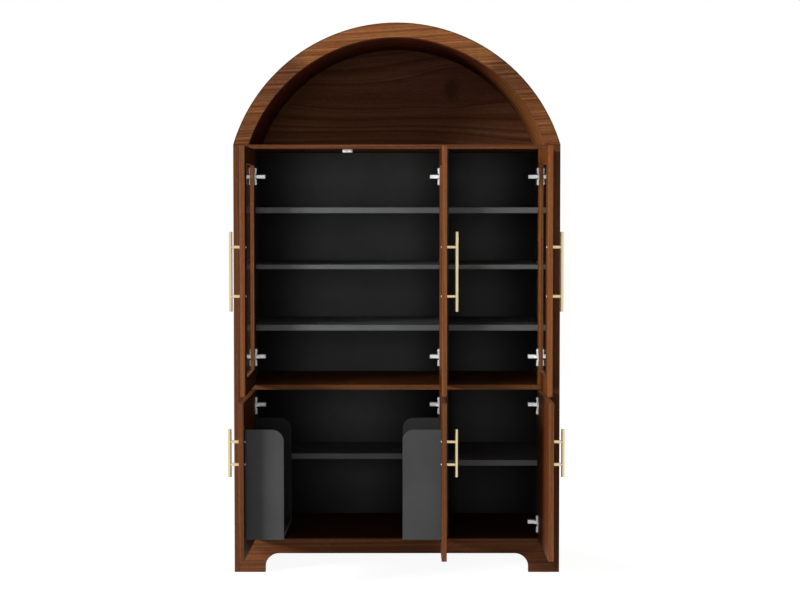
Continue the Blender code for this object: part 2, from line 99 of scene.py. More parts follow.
# %% Camera
IMAGE_WIDTH = 800
FOCAL_PIXELS = 1424.9
CAMERA_DISTANCE = 5.231
CAMERA_HEIGHT = 1.3608
CAMERA_SIDE = 0.0282
CAMERA_TILT = math.radians(1.77)
CAMERA_SHIFT = (-0.00562, -0.065)
front_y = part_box("front_stile_left")[0].y

camera_data = bpy.data.cameras.new("camera")
camera_data.lens = FOCAL_PIXELS / IMAGE_WIDTH * camera_data.sensor_width
camera_data.shift_x, camera_data.shift_y = CAMERA_SHIFT
camera = bpy.data.objects.new("camera", camera_data)
camera.location = (CAMERA_SIDE, front_y - CAMERA_DISTANCE, CAMERA_HEIGHT)
camera.rotation_euler.x = math.radians(90) - CAMERA_TILT
bpy.context.scene.collection.objects.link(camera)
bpy.context.scene.camera = camera
print(f"lens {camera_data.lens:.1f} mm, shift {camera_data.shift_x:.4f} {camera_data.shift_y:.4f}")

# %% [markdown]
# ## Nodes with fewer words
# Every finish below is a small network of shader nodes. Each node could be made by hand, which takes a line
# for every option and every link. One helper does it instead: it adds a node, sets its options and fills its
# inputs, and where the value is another node's socket it makes a link.

# %% Node helpers
def add(tree, kind, inputs=None, **options):
    made = tree.nodes.new("ShaderNode" + kind)
    for name, value in options.items():
        setattr(made, name, value)
    for socket, value in (inputs or {}).items():
        if isinstance(value, bpy.types.NodeSocket):
            tree.links.new(value, made.inputs[socket])
        else:
            made.inputs[socket].default_value = value
    return made


def maths(tree, operation, *values):
    return add(tree, "Math", dict(enumerate(values)), operation=operation).outputs[0]


def ranged(tree, value, low, high, to_low, to_high):
    sockets = {"Value": value, "From Min": low, "From Max": high, "To Min": to_low, "To Max": to_high}
    return add(tree, "MapRange", sockets).outputs[0]


def stretched(tree, vector, x, y, z=1.0):
    return add(tree, "VectorMath", {0: vector, 1: (x, y, z)}, operation="MULTIPLY").outputs[0]


def noise(tree, vector, scale, detail=2.0, roughness=0.5, dimensions="3D"):
    place = "W" if dimensions == "1D" else "Vector"
    sockets = {place: vector, "Scale": scale, "Detail": detail, "Roughness": roughness}
    return add(tree, "TexNoise", sockets, noise_dimensions=dimensions).outputs[0]


def mixed(tree, factor, first, second, blend="MIX"):
    sockets = {0: factor, 6: first, 7: second}
    return add(tree, "Mix", sockets, data_type="RGBA", blend_type=blend).outputs[2]


print("node helpers ready")

# %% [markdown]
# ## Groups that several finishes share
# Wood grain, hand smears and sprayed skin turn up in more than one finish. Copying their nodes into each
# material would work, but a change would then have to be made many times. A node group is built once, has
# named sockets, and is placed in each material with that material's own values.

# %% Group helpers
def group(name, inputs, outputs):
    """An empty node group with named sockets, and its two end nodes."""
    tree = bpy.data.node_groups.new(name, "ShaderNodeTree")
    for label, start in inputs.items():
        kind = "NodeSocketVector" if start is None else "NodeSocketFloat"
        socket = tree.interface.new_socket(label, in_out="INPUT", socket_type=kind)
        if start is not None:
            socket.default_value = start
    for label in outputs:
        tree.interface.new_socket(label, in_out="OUTPUT", socket_type="NodeSocketFloat")
    ends = tree.nodes.new("NodeGroupInput"), tree.nodes.new("NodeGroupOutput")
    return tree, ends[0].outputs, ends[1].inputs


def placed(tree, shared, **values):
    """A shared group put into a material, with that material's own values."""
    made = add(tree, "Group", node_tree=shared)
    for label, value in values.items():
        socket = made.inputs[label.replace("_", " ")]
        if isinstance(value, bpy.types.NodeSocket):
            tree.links.new(value, socket)
        else:
            socket.default_value = value
    return made.outputs


print("group helpers ready")

# %% [markdown]
# ## Walnut veneer
# Veneer is sliced from a log, so its lines are the log's growth rings cut at an angle. Stretched noise alone
# would give stripes. The group below works the cut out instead: a ring's radius is the distance to the middle
# of the log, which tapers, and the lines are where the slice meets the rings. Near the middle of the leaf
# they close into tall arches, and further out they run straight. A knot, where a finish asks for one, sits at
# the map's origin: it pushes the lines apart and has a dark, ragged heart. Fine fibres and short dark pores
# lie along the grain. The group reads a map in metres, across and along the grain, so that the lines keep
# their real width on every board.

# %% Veneer group
LOG_TAPER = 0.016
SLICE_DEPTH = 0.045
LEAF_WIDTH = 0.083
LEAF_RAG = 0.10
KNOT_REACH = (0.055, 0.085)
HEART_REACH = (0.034, 0.022)
HEART_FALL = -2.0
HEART_DEPTH = 0.3
RING_NOISE = (2.5, 0.55)
BLUSH_LIMITS = (0.36, 0.64)
PORE_LIMITS = (0.63, 0.72)
# Features per metre across and along the grain, then the noise's detail and roughness.
FEATURES = {
    "bend": (3.2, 1.1, 0.5, 0.5),
    "streaks": (34.0, 1.3, 3.0, 0.6),
    "heart": (26.0, 60.0, 2.0, 0.5),
    "fibre": (620.0, 11.0, 2.0, 0.6),
    "leaf edge": (30.0, 9.0, 1.0, 0.5),
    "blush": (15.0, 7.0, 2.0, 0.5),
    "fleck": (210.0, 46.0, 2.0, 0.6),
    "pore": (1300.0, 75.0, 1.0, 0.5),
}


def feature(tree, grain, kind):
    across, along, detail, roughness = FEATURES[kind]
    return noise(tree, stretched(tree, grain, across, along), 1.0, detail, roughness)


def off_centre(tree, grain, reach):
    """The squared distance from the map's origin, counted in reaches across and along the grain."""
    near = stretched(tree, grain, 1 / reach[0], 1 / reach[1], 0.0)
    return add(tree, "VectorMath", {0: near, 1: near}, operation="DOT_PRODUCT").outputs["Value"]


def veneer_group():
    inputs = {"Grain": None, "Sway": 0.03, "Ring": 0.0085, "Streaks": 0.42, "Knot": 0.0}
    outputs = ["Figure", "Fibre", "Pores", "Leaf", "Blush", "Fleck"]
    tree, given, result = group("walnut_veneer", inputs, outputs)
    grain = given["Grain"]
    place = add(tree, "SeparateXYZ", {0: grain}).outputs
    bend = maths(tree, "SUBTRACT", feature(tree, grain, "bend"), 0.5)
    sway = maths(tree, "MULTIPLY", bend, given["Sway"])
    away = maths(tree, "MULTIPLY", off_centre(tree, grain, KNOT_REACH), -1.0)
    swell = maths(tree, "MULTIPLY", maths(tree, "EXPONENT", away), given["Knot"])
    pushed = maths(tree, "MULTIPLY", place["X"], maths(tree, "SUBTRACT", 1.0, swell))
    across = maths(tree, "ADD", pushed, sway)
    square = maths(tree, "MULTIPLY_ADD", across, across, SLICE_DEPTH**2)
    taper = maths(tree, "MULTIPLY", place["Y"], LOG_TAPER)
    radius = maths(tree, "SUBTRACT", maths(tree, "SQRT", square), taper)
    rings = noise(tree, maths(tree, "DIVIDE", radius, given["Ring"]), 1.0, *RING_NOISE, "1D")
    drawn = maths(tree, "SUBTRACT", feature(tree, grain, "streaks"), rings)
    figure = maths(tree, "MULTIPLY_ADD", drawn, given["Streaks"], rings)
    ragged = maths(tree, "MULTIPLY", off_centre(tree, grain, HEART_REACH), feature(tree, grain, "heart"))
    heart = maths(tree, "EXPONENT", maths(tree, "MULTIPLY", ragged, HEART_FALL))
    heart = maths(tree, "MULTIPLY", heart, given["Knot"])
    darkened = maths(tree, "SUBTRACT", figure, maths(tree, "MULTIPLY", heart, HEART_DEPTH))
    strip = maths(tree, "DIVIDE", place["X"], LEAF_WIDTH)
    strip = maths(tree, "MULTIPLY_ADD", feature(tree, grain, "leaf edge"), LEAF_RAG, strip)
    number = maths(tree, "FLOOR", strip)
    leaf = add(tree, "TexWhiteNoise", {"W": number}, noise_dimensions="1D").outputs["Value"]
    made = {
        "Figure": darkened,
        "Fibre": feature(tree, grain, "fibre"),
        "Leaf": leaf,
        "Blush": ranged(tree, feature(tree, grain, "blush"), *BLUSH_LIMITS, 0.0, 1.0),
        "Fleck": feature(tree, grain, "fleck"),
        "Pores": ranged(tree, feature(tree, grain, "pore"), *PORE_LIMITS, 0.0, 1.0),
    }
    for label, socket in made.items():
        tree.links.new(socket, result[label])
    return tree


veneer = veneer_group()
print("veneer sockets:", [item.name for item in veneer.interface.items_tree])

# %% [markdown]
# ## Signs of handling, sprayed skin and painted corner shade
# Nothing that people open and close every day is evenly shiny. Faint smears, which only the roughness shows,
# are shared by the lacquer, the metal and the glass. A second group gives sprayed lacquer its fine uneven
# skin. A third paints shade on a board toward an upright wall, where the deep corners of a cabinet fall
# darker than its middle. Lamps alone could do that, but softer lamps would then leave the corners too light.

# %% Handling, lacquer and corner groups
SMEAR_LIMITS = (0.35, 0.7)
SMEAR_NOISE = {"Detail": 4.0, "Distortion": 0.6}
MOTTLE_NOISE = (9.0, 4.0, 0.6)


def smear_group():
    tree, given, result = group("hand_smears", {"Place": None, "Size": 0.05}, ["Smear"])
    scale = maths(tree, "DIVIDE", 1.0, given["Size"])
    broad = add(tree, "TexNoise", {"Vector": given["Place"], "Scale": scale, **SMEAR_NOISE})
    tree.links.new(ranged(tree, broad.outputs[0], *SMEAR_LIMITS, 0.0, 1.0), result["Smear"])
    return tree


def lacquer_group():
    tree, given, result = group("sprayed_skin", {"Place": None, "Grit": 0.0008}, ["Mottle", "Height"])
    scale = maths(tree, "DIVIDE", 1.0, given["Grit"])
    fine = add(tree, "TexNoise", {"Vector": given["Place"], "Scale": scale, "Detail": 2.0})
    tree.links.new(fine.outputs[0], result["Height"])
    tree.links.new(noise(tree, given["Place"], *MOTTLE_NOISE), result["Mottle"])
    return tree


# Painted shade: a mask that is darker toward an upright wall.
def corner_group():
    inputs = {"Place": None, "Wall": 0.0, "Left Reach": 0.1, "Right Reach": 0.1, "Least": 0.3}
    tree, given, result = group("corner_shade", inputs, ["Mask"])
    x = add(tree, "SeparateXYZ", {0: given["Place"]}).outputs["X"]
    left = maths(tree, "DIVIDE", maths(tree, "SUBTRACT", given["Wall"], x), given["Left Reach"])
    right = maths(tree, "DIVIDE", maths(tree, "SUBTRACT", x, given["Wall"]), given["Right Reach"])
    sockets = {"Value": maths(tree, "MAXIMUM", left, right), "To Min": given["Least"]}
    mask = add(tree, "MapRange", sockets, interpolation_type="SMOOTHSTEP").outputs[0]
    tree.links.new(mask, result["Mask"])
    return tree


smears = smear_group()
sprayed = lacquer_group()
corner = corner_group()
print("shared groups:", [tree.name for tree in bpy.data.node_groups])

# %% [markdown]
# ## What every finish needs
# A finish starts from one Principled shader, has a colour that changes a little over the surface, and a bump.
# These steps are the same for wood, lacquer, metal and plastic, so they are helpers. A number kept on each
# piece's mesh, its tone, makes it darker or lighter than its neighbours without a material of its own. Much
# of it is painted light and shade.

# %% Material helpers
def finish(name):
    """A new material with its Principled shader."""
    made = bpy.data.materials.new(name)
    made.use_nodes = True
    return made, made.node_tree, made.node_tree.nodes["Principled BSDF"]


def own_place(tree):
    return add(tree, "TexCoord").outputs["Object"]


# The tone holds the wood's own differences and painted light and shade.
def own_tone(tree):
    return add(tree, "Attribute", attribute_name="tone").outputs["Fac"]


def tinted(tree, shader, colour, light):
    """One colour, made lighter and darker by a value."""
    shade = add(tree, "CombineColor", {channel: light for channel in range(3)}).outputs[0]
    tree.links.new(mixed(tree, 1.0, (*colour, 1.0), shade, "MULTIPLY"), shader.inputs["Base Color"])


def bumped(tree, shader, height, strength, distance):
    bump = add(tree, "Bump", {"Strength": strength, "Distance": distance, "Height": height})
    tree.links.new(bump.outputs[0], shader.inputs["Normal"])


print("material helpers ready")

# %% [markdown]
# ## Walnut finishes
# One function makes each walnut finish from three shades: the dark lines, the body of the wood and the light
# bands between. There are six: the face veneer, the arch's ring with painted shade along its rim, the edge
# band, a darker, redder copy of the face that paints shade on inner faces and board tops, the sheet with a
# knot at the niche's back, darker in part as painted shade, and the lining bent under the arch, painted
# redder on its shaded left. Lighter leaves are a little more golden, and so is wood that its tone paints
# lighter. The lacquer is satin, so the shine is low and broad.

# %% Rim of the arch
# Painted shade along the outer rim of the arch.
RIM_WIDTH = 0.0045
RIM_SHADE = 0.45
arch_low, arch_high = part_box("arch_outer_skin")
arch_rise = arch_high.z - arch_low.z
arch_half = (arch_high.x - arch_low.x) / 2
arch_radius = (arch_half**2 + arch_rise**2) / (2 * arch_rise)
arch_middle = arch_high.z - arch_radius


def rim_shade(tree):
    """Painted shade: less than 1 along the outer edge of the arch."""
    place = stretched(tree, own_place(tree), 1.0, 0.0)
    ends = {0: place, 1: (0.0, 0.0, arch_middle)}
    spoke = add(tree, "VectorMath", ends, operation="DISTANCE").outputs["Value"]
    return ranged(tree, spoke, arch_radius - RIM_WIDTH, arch_radius - RIM_WIDTH / 2, 1.0, RIM_SHADE)


print(f"arch radius {arch_radius:.4f} m round a middle {arch_middle:.4f} m high")

# %% Walnut function
NOISE_SPAN = (0.3, 0.7)
COOL, WARM = (0.96, 1.03, 1.02, 1.0), (1.04, 0.975, 0.94, 1.0)
# How red, green and blue change from a middling leaf to the darkest and to the lightest one.
UMBER, HONEY = np.array((-1.3, -1.2, -0.5)), np.array((1.3, 1.2, 0.1))
FIGURE_STOPS = (0.33, 0.5, 0.66)
FIBRE_LIGHT, FLECK_LIGHT = (0.88, 1.12), (0.86, 1.14)
LEAST_TONE = 0.12
# A tone that paints light or shade shifts the hue too: a lighter tone is less blue, a darker one more.
TONE_SPAN, BLUE_SPAN = (0.5, 1.4), (1.14, 0.86)
# Left of this span the lining's painted shade is redder.
GOLDEN_FROM = (0.29, 0.42)
PORE_COVER = 0.45
PORE_SHADE = 0.45
FIBRE_SPAN, SATIN = (0.2, 0.8), (0.44, 0.56)
SMEAR_ROUGHNESS = 0.06
FIBRE_HEIGHT = 0.4


def walnut_finish(name, dark, body, light, leaves=0.18, rim=False, left_green=1.0, **figure):
    """leaves is how much the leaves differ; left_green below 1 paints all but the right side redder, as shade.
    """
    made, tree, shader = finish(name)
    grain = add(tree, "UVMap", uv_map="grain").outputs[0]
    leaf = placed(tree, veneer, Grain=grain, **figure)
    ramp = add(tree, "ValToRGB", {"Fac": leaf["Figure"]})
    stops = ramp.color_ramp.elements
    stops[0].position, stops[1].position = FIGURE_STOPS[0], FIGURE_STOPS[2]
    stops.new(FIGURE_STOPS[1]).color = (*body, 1.0)
    stops[0].color, stops[2].color = (*dark, 1.0), (*light, 1.0)
    fibres = ranged(tree, leaf["Fibre"], *NOISE_SPAN, *FIBRE_LIGHT)
    flecks = maths(tree, "MULTIPLY", fibres, ranged(tree, leaf["Fleck"], *NOISE_SPAN, *FLECK_LIGHT))
    tone = own_tone(tree)
    depth = maths(tree, "MULTIPLY", flecks, maths(tree, "MAXIMUM", tone, LEAST_TONE))
    # Painted shade along the rim.
    if rim:
        depth = maths(tree, "MULTIPLY", depth, rim_shade(tree))
    right = add(tree, "SeparateXYZ", {0: own_place(tree)}).outputs["X"]
    green = maths(tree, "MULTIPLY", depth, ranged(tree, right, *GOLDEN_FROM, left_green, 1.0))
    blue = maths(tree, "MULTIPLY", depth, ranged(tree, tone, *TONE_SPAN, *BLUE_SPAN))
    shade = add(tree, "CombineColor", {0: depth, 1: green, 2: blue}).outputs[0]
    colour = mixed(tree, 1.0, ramp.outputs[0], shade, "MULTIPLY")
    umber, honey = ((*(1.0 + leaves * tint), 1.0) for tint in (UMBER, HONEY))
    colour = mixed(tree, 1.0, colour, mixed(tree, leaf["Leaf"], umber, honey), "MULTIPLY")
    colour = mixed(tree, 1.0, colour, mixed(tree, leaf["Blush"], COOL, WARM), "MULTIPLY")
    pores = maths(tree, "MULTIPLY", leaf["Pores"], PORE_COVER)
    colour = mixed(tree, pores, colour, (*(PORE_SHADE * np.array(dark)), 1.0))
    tree.links.new(colour, shader.inputs["Base Color"])
    worn = placed(tree, smears, Place=own_place(tree), Size=0.12)["Smear"]
    satin = ranged(tree, leaf["Fibre"], *FIBRE_SPAN, *SATIN)
    rough = maths(tree, "ADD", satin, maths(tree, "MULTIPLY", worn, SMEAR_ROUGHNESS))
    tree.links.new(rough, shader.inputs["Roughness"])
    shader.inputs["Specular IOR Level"].default_value = 0.04
    height = maths(tree, "SUBTRACT", maths(tree, "MULTIPLY", leaf["Fibre"], FIBRE_HEIGHT), leaf["Pores"])
    bumped(tree, shader, height, strength=0.25, distance=0.0004)
    return made


print("walnut function ready")

# %% Walnut materials
walnut = walnut_finish(
    "walnut_veneer", (0.125, 0.042, 0.0175), (0.180, 0.064, 0.026), (0.235, 0.087, 0.036), Streaks=0.34)
# The ring's face, with painted shade along its rim.
walnut_ring = walnut_finish(
    "walnut_ring_face", (0.100, 0.034, 0.0138), (0.180, 0.0665, 0.026), (0.265, 0.103, 0.041), rim=True,
    Streaks=0.34)
walnut_band = walnut_finish(
    "walnut_edge_band", (0.140, 0.050, 0.020), (0.195, 0.072, 0.029), (0.25, 0.095, 0.039), 0.05, Sway=0.01)
# A darker, redder copy of the face veneer: painted shade for inner faces and the tops inside the cupboards.
walnut_shaded = walnut_finish(
    "walnut_painted_shade", (0.120, 0.034, 0.0078), (0.165, 0.049, 0.0113), (0.215, 0.067, 0.0165), 0.08)
# The niche's back sheet, darker in part as painted shade under the arch.
walnut_sheet = walnut_finish(
    "walnut_back_sheet", (0.056, 0.0195, 0.0092), (0.108, 0.040, 0.0195), (0.162, 0.064, 0.032), 0.0,
    Sway=0.17, Ring=0.022, Streaks=0.30, Knot=1.0)
# The lining, painted redder on its shaded left.
walnut_lining = walnut_finish(
    "walnut_arch_lining", (0.085, 0.0222, 0.0060), (0.150, 0.0505, 0.0132), (0.225, 0.095, 0.0246), 0.0,
    left_green=0.64, Sway=0.01, Ring=0.045, Streaks=0.2)
print("walnut finishes:", [made.name for made in bpy.data.materials if "walnut" in made.name])

# %% [markdown]
# ## Charcoal lacquer
# Inside, the boards are sprayed in charcoal: the shelves and racks in a mid grey, the back and the walls
# nearly black, the back partly by painted shade. A plain grey would look like paper, so the sprayed skin
# mottles it and gives it a fine bump. The back panels also get painted shade toward the uprights, and the
# lower back is a darker copy of the upper one, painted as the deeper shade of the lower cupboards. For each
# upright the list gives its place, how far its painted shade reaches to the left and to the right, and how
# much light is left beside it.

# %% Charcoal materials
MOTTLE_LIGHT = (0.92, 1.08)
LACQUER_WEAR = 0.09


def lacquer_finish(name, colour, grit, roughness, walls=()):
    made, tree, shader = finish(name)
    place = own_place(tree)
    skin = placed(tree, sprayed, Place=place, Grit=grit)
    worn = placed(tree, smears, Place=place, Size=0.16)["Smear"]
    light = maths(tree, "MULTIPLY", ranged(tree, skin["Mottle"], *NOISE_SPAN, *MOTTLE_LIGHT), own_tone(tree))
    # Each wall paints shade on the board beside it.
    for wall, left, right, least in walls:
        dim = placed(tree, corner, Place=place, Wall=wall, Left_Reach=left, Right_Reach=right, Least=least)
        light = maths(tree, "MULTIPLY", light, dim["Mask"])
    tinted(tree, shader, colour, light)
    rough = ranged(tree, worn, 0.0, 1.0, roughness, roughness + LACQUER_WEAR)
    tree.links.new(rough, shader.inputs["Roughness"])
    shader.inputs["Specular IOR Level"].default_value = 0.05
    bumped(tree, shader, skin["Height"], strength=0.12, distance=0.0002)
    return made


wall_left, wall_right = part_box("inner_wall_left")[1].x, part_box("inner_wall_right")[0].x
divider = (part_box("divider_upper")[0].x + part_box("divider_upper")[1].x) / 2
# Painted shade beside each upright: its place, reach to the left and to the right, and least light.
upper_shade = [(wall_left, 0.3, 0.27, 0.22), (divider, 0.16, 0.07, 0.50), (wall_right, 0.26, 0.3, 0.16)]
lower_shade = [(wall_left, 0.4, 0.40, 0.10), (divider, 0.34, 0.07, 0.12), (wall_right, 0.24, 0.3, 0.30)]
charcoal = lacquer_finish("charcoal_lacquer", (0.070, 0.0695, 0.0695), 0.0009, 0.50)
charcoal_deep = lacquer_finish("deep_charcoal_lacquer", (0.115, 0.114, 0.114), 0.0012, 0.55)
# Two copies of the back's lacquer, the lower one darker as painted shade.
back_upper = lacquer_finish("upper_back_lacquer", (0.100, 0.099, 0.099), 0.0012, 0.55, upper_shade)
back_lower = lacquer_finish("lower_back_lacquer", (0.086, 0.085, 0.085), 0.0012, 0.55, lower_shade)
print("uprights at", [round(x, 3) for x in (wall_left, divider, wall_right)])

# %% [markdown]
# ## Metal and plastic
# The handles are steel with a satin gold finish, brushed along the bar. The hinges are nickel plated, and a
# few small parts that sit in shade are nickel painted dark as shade. Brushing could be modelled as fine
# grooves. Noise drawn out along the bar does the same for the roughness and a faint bump. The catch is white
# moulded plastic.

# %% Metal and plastic materials
BRUSH_SPAN, BRUSH_LIGHT = (0.25, 0.75), (0.90, 1.06)
BRUSH_ROUGHNESS = (-0.05, 0.07)
METAL_WEAR = 0.08
ALONG_BAR, ALL_WAYS = (2600.0, 2600.0, 60.0), (500.0, 500.0, 500.0)
PLASTIC_LIGHT, PLASTIC_ROUGHNESS = (0.95, 1.03), (0.42, 0.50)


def metal_finish(name, colour, roughness, streak, metallic=1.0, toned=False):
    """Plated metal. streak gives the lines per metre along x, y and z."""
    made, tree, shader = finish(name)
    place = own_place(tree)
    brushed = noise(tree, stretched(tree, place, *streak), 1.0, detail=3.0, roughness=0.7)
    worn = placed(tree, smears, Place=place, Size=0.03)["Smear"]
    light = ranged(tree, brushed, *BRUSH_SPAN, *BRUSH_LIGHT)
    if toned:
        light = maths(tree, "MULTIPLY", light, own_tone(tree))
    tinted(tree, shader, colour, light)
    low, high = (roughness + change for change in BRUSH_ROUGHNESS)
    rough = maths(tree, "MULTIPLY_ADD", worn, METAL_WEAR, ranged(tree, brushed, *FIBRE_SPAN, low, high))
    tree.links.new(rough, shader.inputs["Roughness"])
    shader.inputs["Metallic"].default_value = metallic
    bumped(tree, shader, brushed, strength=0.08, distance=0.0001)
    return made


def plastic_finish(name, colour):
    made, tree, shader = finish(name)
    skin = placed(tree, sprayed, Place=own_place(tree), Grit=0.0005)
    tinted(tree, shader, colour, ranged(tree, skin["Mottle"], *NOISE_SPAN, *PLASTIC_LIGHT))
    rough = ranged(tree, skin["Height"], *NOISE_SPAN, *PLASTIC_ROUGHNESS)
    tree.links.new(rough, shader.inputs["Roughness"])
    bumped(tree, shader, skin["Height"], strength=0.1, distance=0.0002)
    return made


# The gold reads each bar's tone, which paints the door's reflection on the lower outer bars.
gold = metal_finish("satin_gold", (0.79, 0.645, 0.375), 0.30, ALONG_BAR, toned=True)
nickel = metal_finish("nickel_plate", (0.93, 0.92, 0.915), 0.34, ALL_WAYS, 0.45)
# Nickel painted dark as shade, for small parts that sit in shade.
shaded_nickel = metal_finish("nickel_painted_shade", (0.075, 0.070, 0.066), 0.45, ALL_WAYS, 0.5)
white_plastic = plastic_finish("white_plastic", (0.93, 0.90, 0.88))
print("materials:", len(bpy.data.materials))

# %% [markdown]
# ## Glass
# The panes are clear float glass, faintly green, with smears that only the shine shows. Glass that bends
# every ray would throw a dark shadow, because lamp light can't find its way through it. So rays that carry
# lamp light and soft light pass straight, as they nearly do through a thin pane, and all others meet the
# glass.

# %% Glass material
PANE_TINT, PASSING_TINT = (0.93, 0.955, 0.945, 1.0), (0.90, 0.93, 0.92, 1.0)
PANE_ROUGHNESS = (0.003, 0.022)


def glass_finish(name):
    made, tree, shader = finish(name)
    shader.inputs["Base Color"].default_value = PANE_TINT
    shader.inputs["Transmission Weight"].default_value = 1.0
    shader.inputs["IOR"].default_value = 1.5
    worn = placed(tree, smears, Place=own_place(tree), Size=0.07)["Smear"]
    tree.links.new(ranged(tree, worn, 0.0, 1.0, *PANE_ROUGHNESS), shader.inputs["Roughness"])
    clear = add(tree, "BsdfTransparent", {"Color": PASSING_TINT})
    rays = add(tree, "LightPath").outputs
    lamp = maths(tree, "MAXIMUM", rays["Is Shadow Ray"], rays["Is Diffuse Ray"])
    both = add(tree, "MixShader", {0: lamp, 1: shader.outputs[0], 2: clear.outputs[0]})
    tree.links.new(both.outputs[0], tree.nodes["Material Output"].inputs["Surface"])
    return made


pane_glass = glass_finish("clear_glass")
print("materials with the glass:", len(bpy.data.materials))

# %% [markdown]
# ## Where each door is
# A door turns about its hinge axis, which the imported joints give. Places on it could be worked out in the
# room for each door, but it is handier to speak of them as seen with the door shut: so far along from the
# axis, so far back from it, and so high. One small class turns such a place into the open door's place in the
# room, and back.

# %% Door frames
DOOR_THICKNESS = 0.018
AXIS_BEHIND_FACE = 0.0035
INNER_FACE = DOOR_THICKNESS - AXIS_BEHIND_FACE


class Door:
    def __init__(self, joint):
        self.body = joint["child"]
        self.level, self.column = self.body.split("_")[1:]
        self.axis = Vector(joint["pos_m"])
        self.axis.z = 0.0
        hand = 1 if self.column == "left" else -1
        turn = Matrix.Rotation(math.radians(hand * joint["range_deg"][0]), 3, "Z")
        self.along = turn @ Vector((hand, 0.0, 0.0))
        self.back = turn @ Vector((0.0, 1.0, 0.0))

    def place(self, along, back, height):
        return self.axis + self.along * along + self.back * back + Vector((0.0, 0.0, height))

    def measured(self, points):
        """Points of the room as (along, back, height) on this door."""
        offset = points - np.array(self.axis)
        return np.stack([offset @ np.array(self.along), offset @ np.array(self.back), points[:, 2]], axis=1)

    def panel(self):
        kind = "door_frame" if self.level == "upper" else "door_panel"
        return f"{kind}_{self.level}_{self.column}"


doors = {joint["child"]: Door(joint) for joint in frame["joints"]}
for door in doors.values():
    low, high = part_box(door.panel())
    print(door.body, "from", [round(v, 3) for v in low], "to", [round(v, 3) for v in high])

# %% [markdown]
# ## Soft corners
# The eased edges of the boards and the round bars are made of narrow flat faces. A finer mesh would make them
# round, and so does averaging the shading where faces meet at a gentle angle. The average leans to the larger
# face, so that flat boards stay flat.

# %% Face corners and soft corners
SPOTS_PER_METRE = 1e5
TINY = 1e-12


def corners_of(mesh):
    """Place, face normal and face number of every face corner."""
    vertex = np.empty(len(mesh.loops), np.int32)
    mesh.loops.foreach_get("vertex_index", vertex)
    points = np.empty(len(mesh.vertices) * 3, np.float32)
    mesh.vertices.foreach_get("co", points)
    normals = np.empty(len(mesh.polygons) * 3, np.float32)
    mesh.polygons.foreach_get("normal", normals)
    size = np.empty(len(mesh.polygons), np.int32)
    mesh.polygons.foreach_get("loop_total", size)
    face = np.repeat(np.arange(len(size)), size)
    points, normals = (flat.reshape(-1, 3).astype(float) for flat in (points, normals))
    return points[vertex], normals[face], face


def soften(mesh, limit=50.0):
    """Averages the corner normals over faces that meet at less than the limit, larger faces counting more."""
    points, normals, face = corners_of(mesh)
    area = np.empty(len(mesh.polygons), np.float32)
    mesh.polygons.foreach_get("area", area)
    weight = area[face]
    rounded = np.round(points * SPOTS_PER_METRE).astype(np.int64)
    spots = np.unique(rounded, axis=0, return_inverse=True)[1].reshape(-1)
    order = np.argsort(spots, kind="stable")
    ends = np.flatnonzero(np.diff(spots[order])) + 1
    soft = normals.copy()
    for corners in np.split(order, ends):
        near = normals[corners] @ normals[corners].T > math.cos(math.radians(limit))
        soft[corners] = (near * weight[corners]) @ normals[corners]
    soft /= np.maximum(np.linalg.norm(soft, axis=1, keepdims=True), TINY)
    mesh.polygons.foreach_set("use_smooth", [True] * len(mesh.polygons))
    mesh.normals_split_custom_set(soft)


print("corners of a door:", len(nodes["door_panel_lower_left"].data.loops))

# %% [markdown]
# ## Laying the veneer
# A cabinet maker picks the way the grain runs for each board: upright on doors, stiles and sides, level on
# boards, the base and the face of the arch, and round the bend on the arch's skins. An automatic unwrap would
# scatter the faces and turn the grain. Here the map is made in metres for each face from its own direction,
# so no line is stretched. Each board is cut from another stretch of the log, so that no two look the same.

# %% Veneer map
GOLDEN_RATIO = 0.618034
LEAST_RUN = 0.5
BENT_LIMIT = 0.7


def leaf_shift(number, start, across, along):
    """The stretch of the log that a numbered board is cut from."""
    return start + across * (number * GOLDEN_RATIO % 1.0), along * (number * GOLDEN_RATIO**2 % 1.0)


def lay_veneer(obj, grain, shift, arch_centre=None):
    """A map in metres, across and along the grain. With a centre it follows the bend of the arch."""
    points, normals, _ = corners_of(obj.data)
    axis = np.array(grain, float)
    other = np.array((0.0, 1.0, 0.0)) if axis[1] == 0 else np.array((1.0, 0.0, 0.0))
    run = axis - normals * (normals @ axis)[:, None]
    end = np.linalg.norm(run, axis=1) < LEAST_RUN
    run[end] = (other - normals * (normals @ other)[:, None])[end]
    run /= np.maximum(np.linalg.norm(run, axis=1, keepdims=True), TINY)
    across = np.cross(normals, run)
    grid = np.stack([(points * across).sum(1), (points * run).sum(1)], axis=1)
    if arch_centre is not None:
        bent = np.abs(normals[:, 1]) < BENT_LIMIT
        angle = np.arctan2(points[:, 0], points[:, 2] - arch_centre)
        radius = np.hypot(points[:, 0], points[:, 2] - arch_centre)
        grid[bent] = np.stack([points[:, 1], angle * radius.mean()], axis=1)[bent]
    layer = obj.data.uv_layers.new(name="grain")
    layer.uv.foreach_set("vector", (grid + np.array(shift)).astype(np.float32).ravel())


def dress(name, finishes, index=None, tone=1.0):
    """Gives a piece its materials, a number per face picking among them, and its tone per face corner."""
    mesh = nodes[name].data
    mesh.materials.clear()
    for made in finishes:
        mesh.materials.append(made)
    picked = np.zeros(len(mesh.polygons), np.int32) if index is None else index.astype(np.int32)
    mesh.polygons.foreach_set("material_index", picked)
    layer = mesh.attributes.new("tone", "FLOAT", "CORNER")
    layer.data.foreach_set("value", np.broadcast_to(tone, len(mesh.loops)).astype(np.float32))
    soften(mesh)


print("veneer map ready")
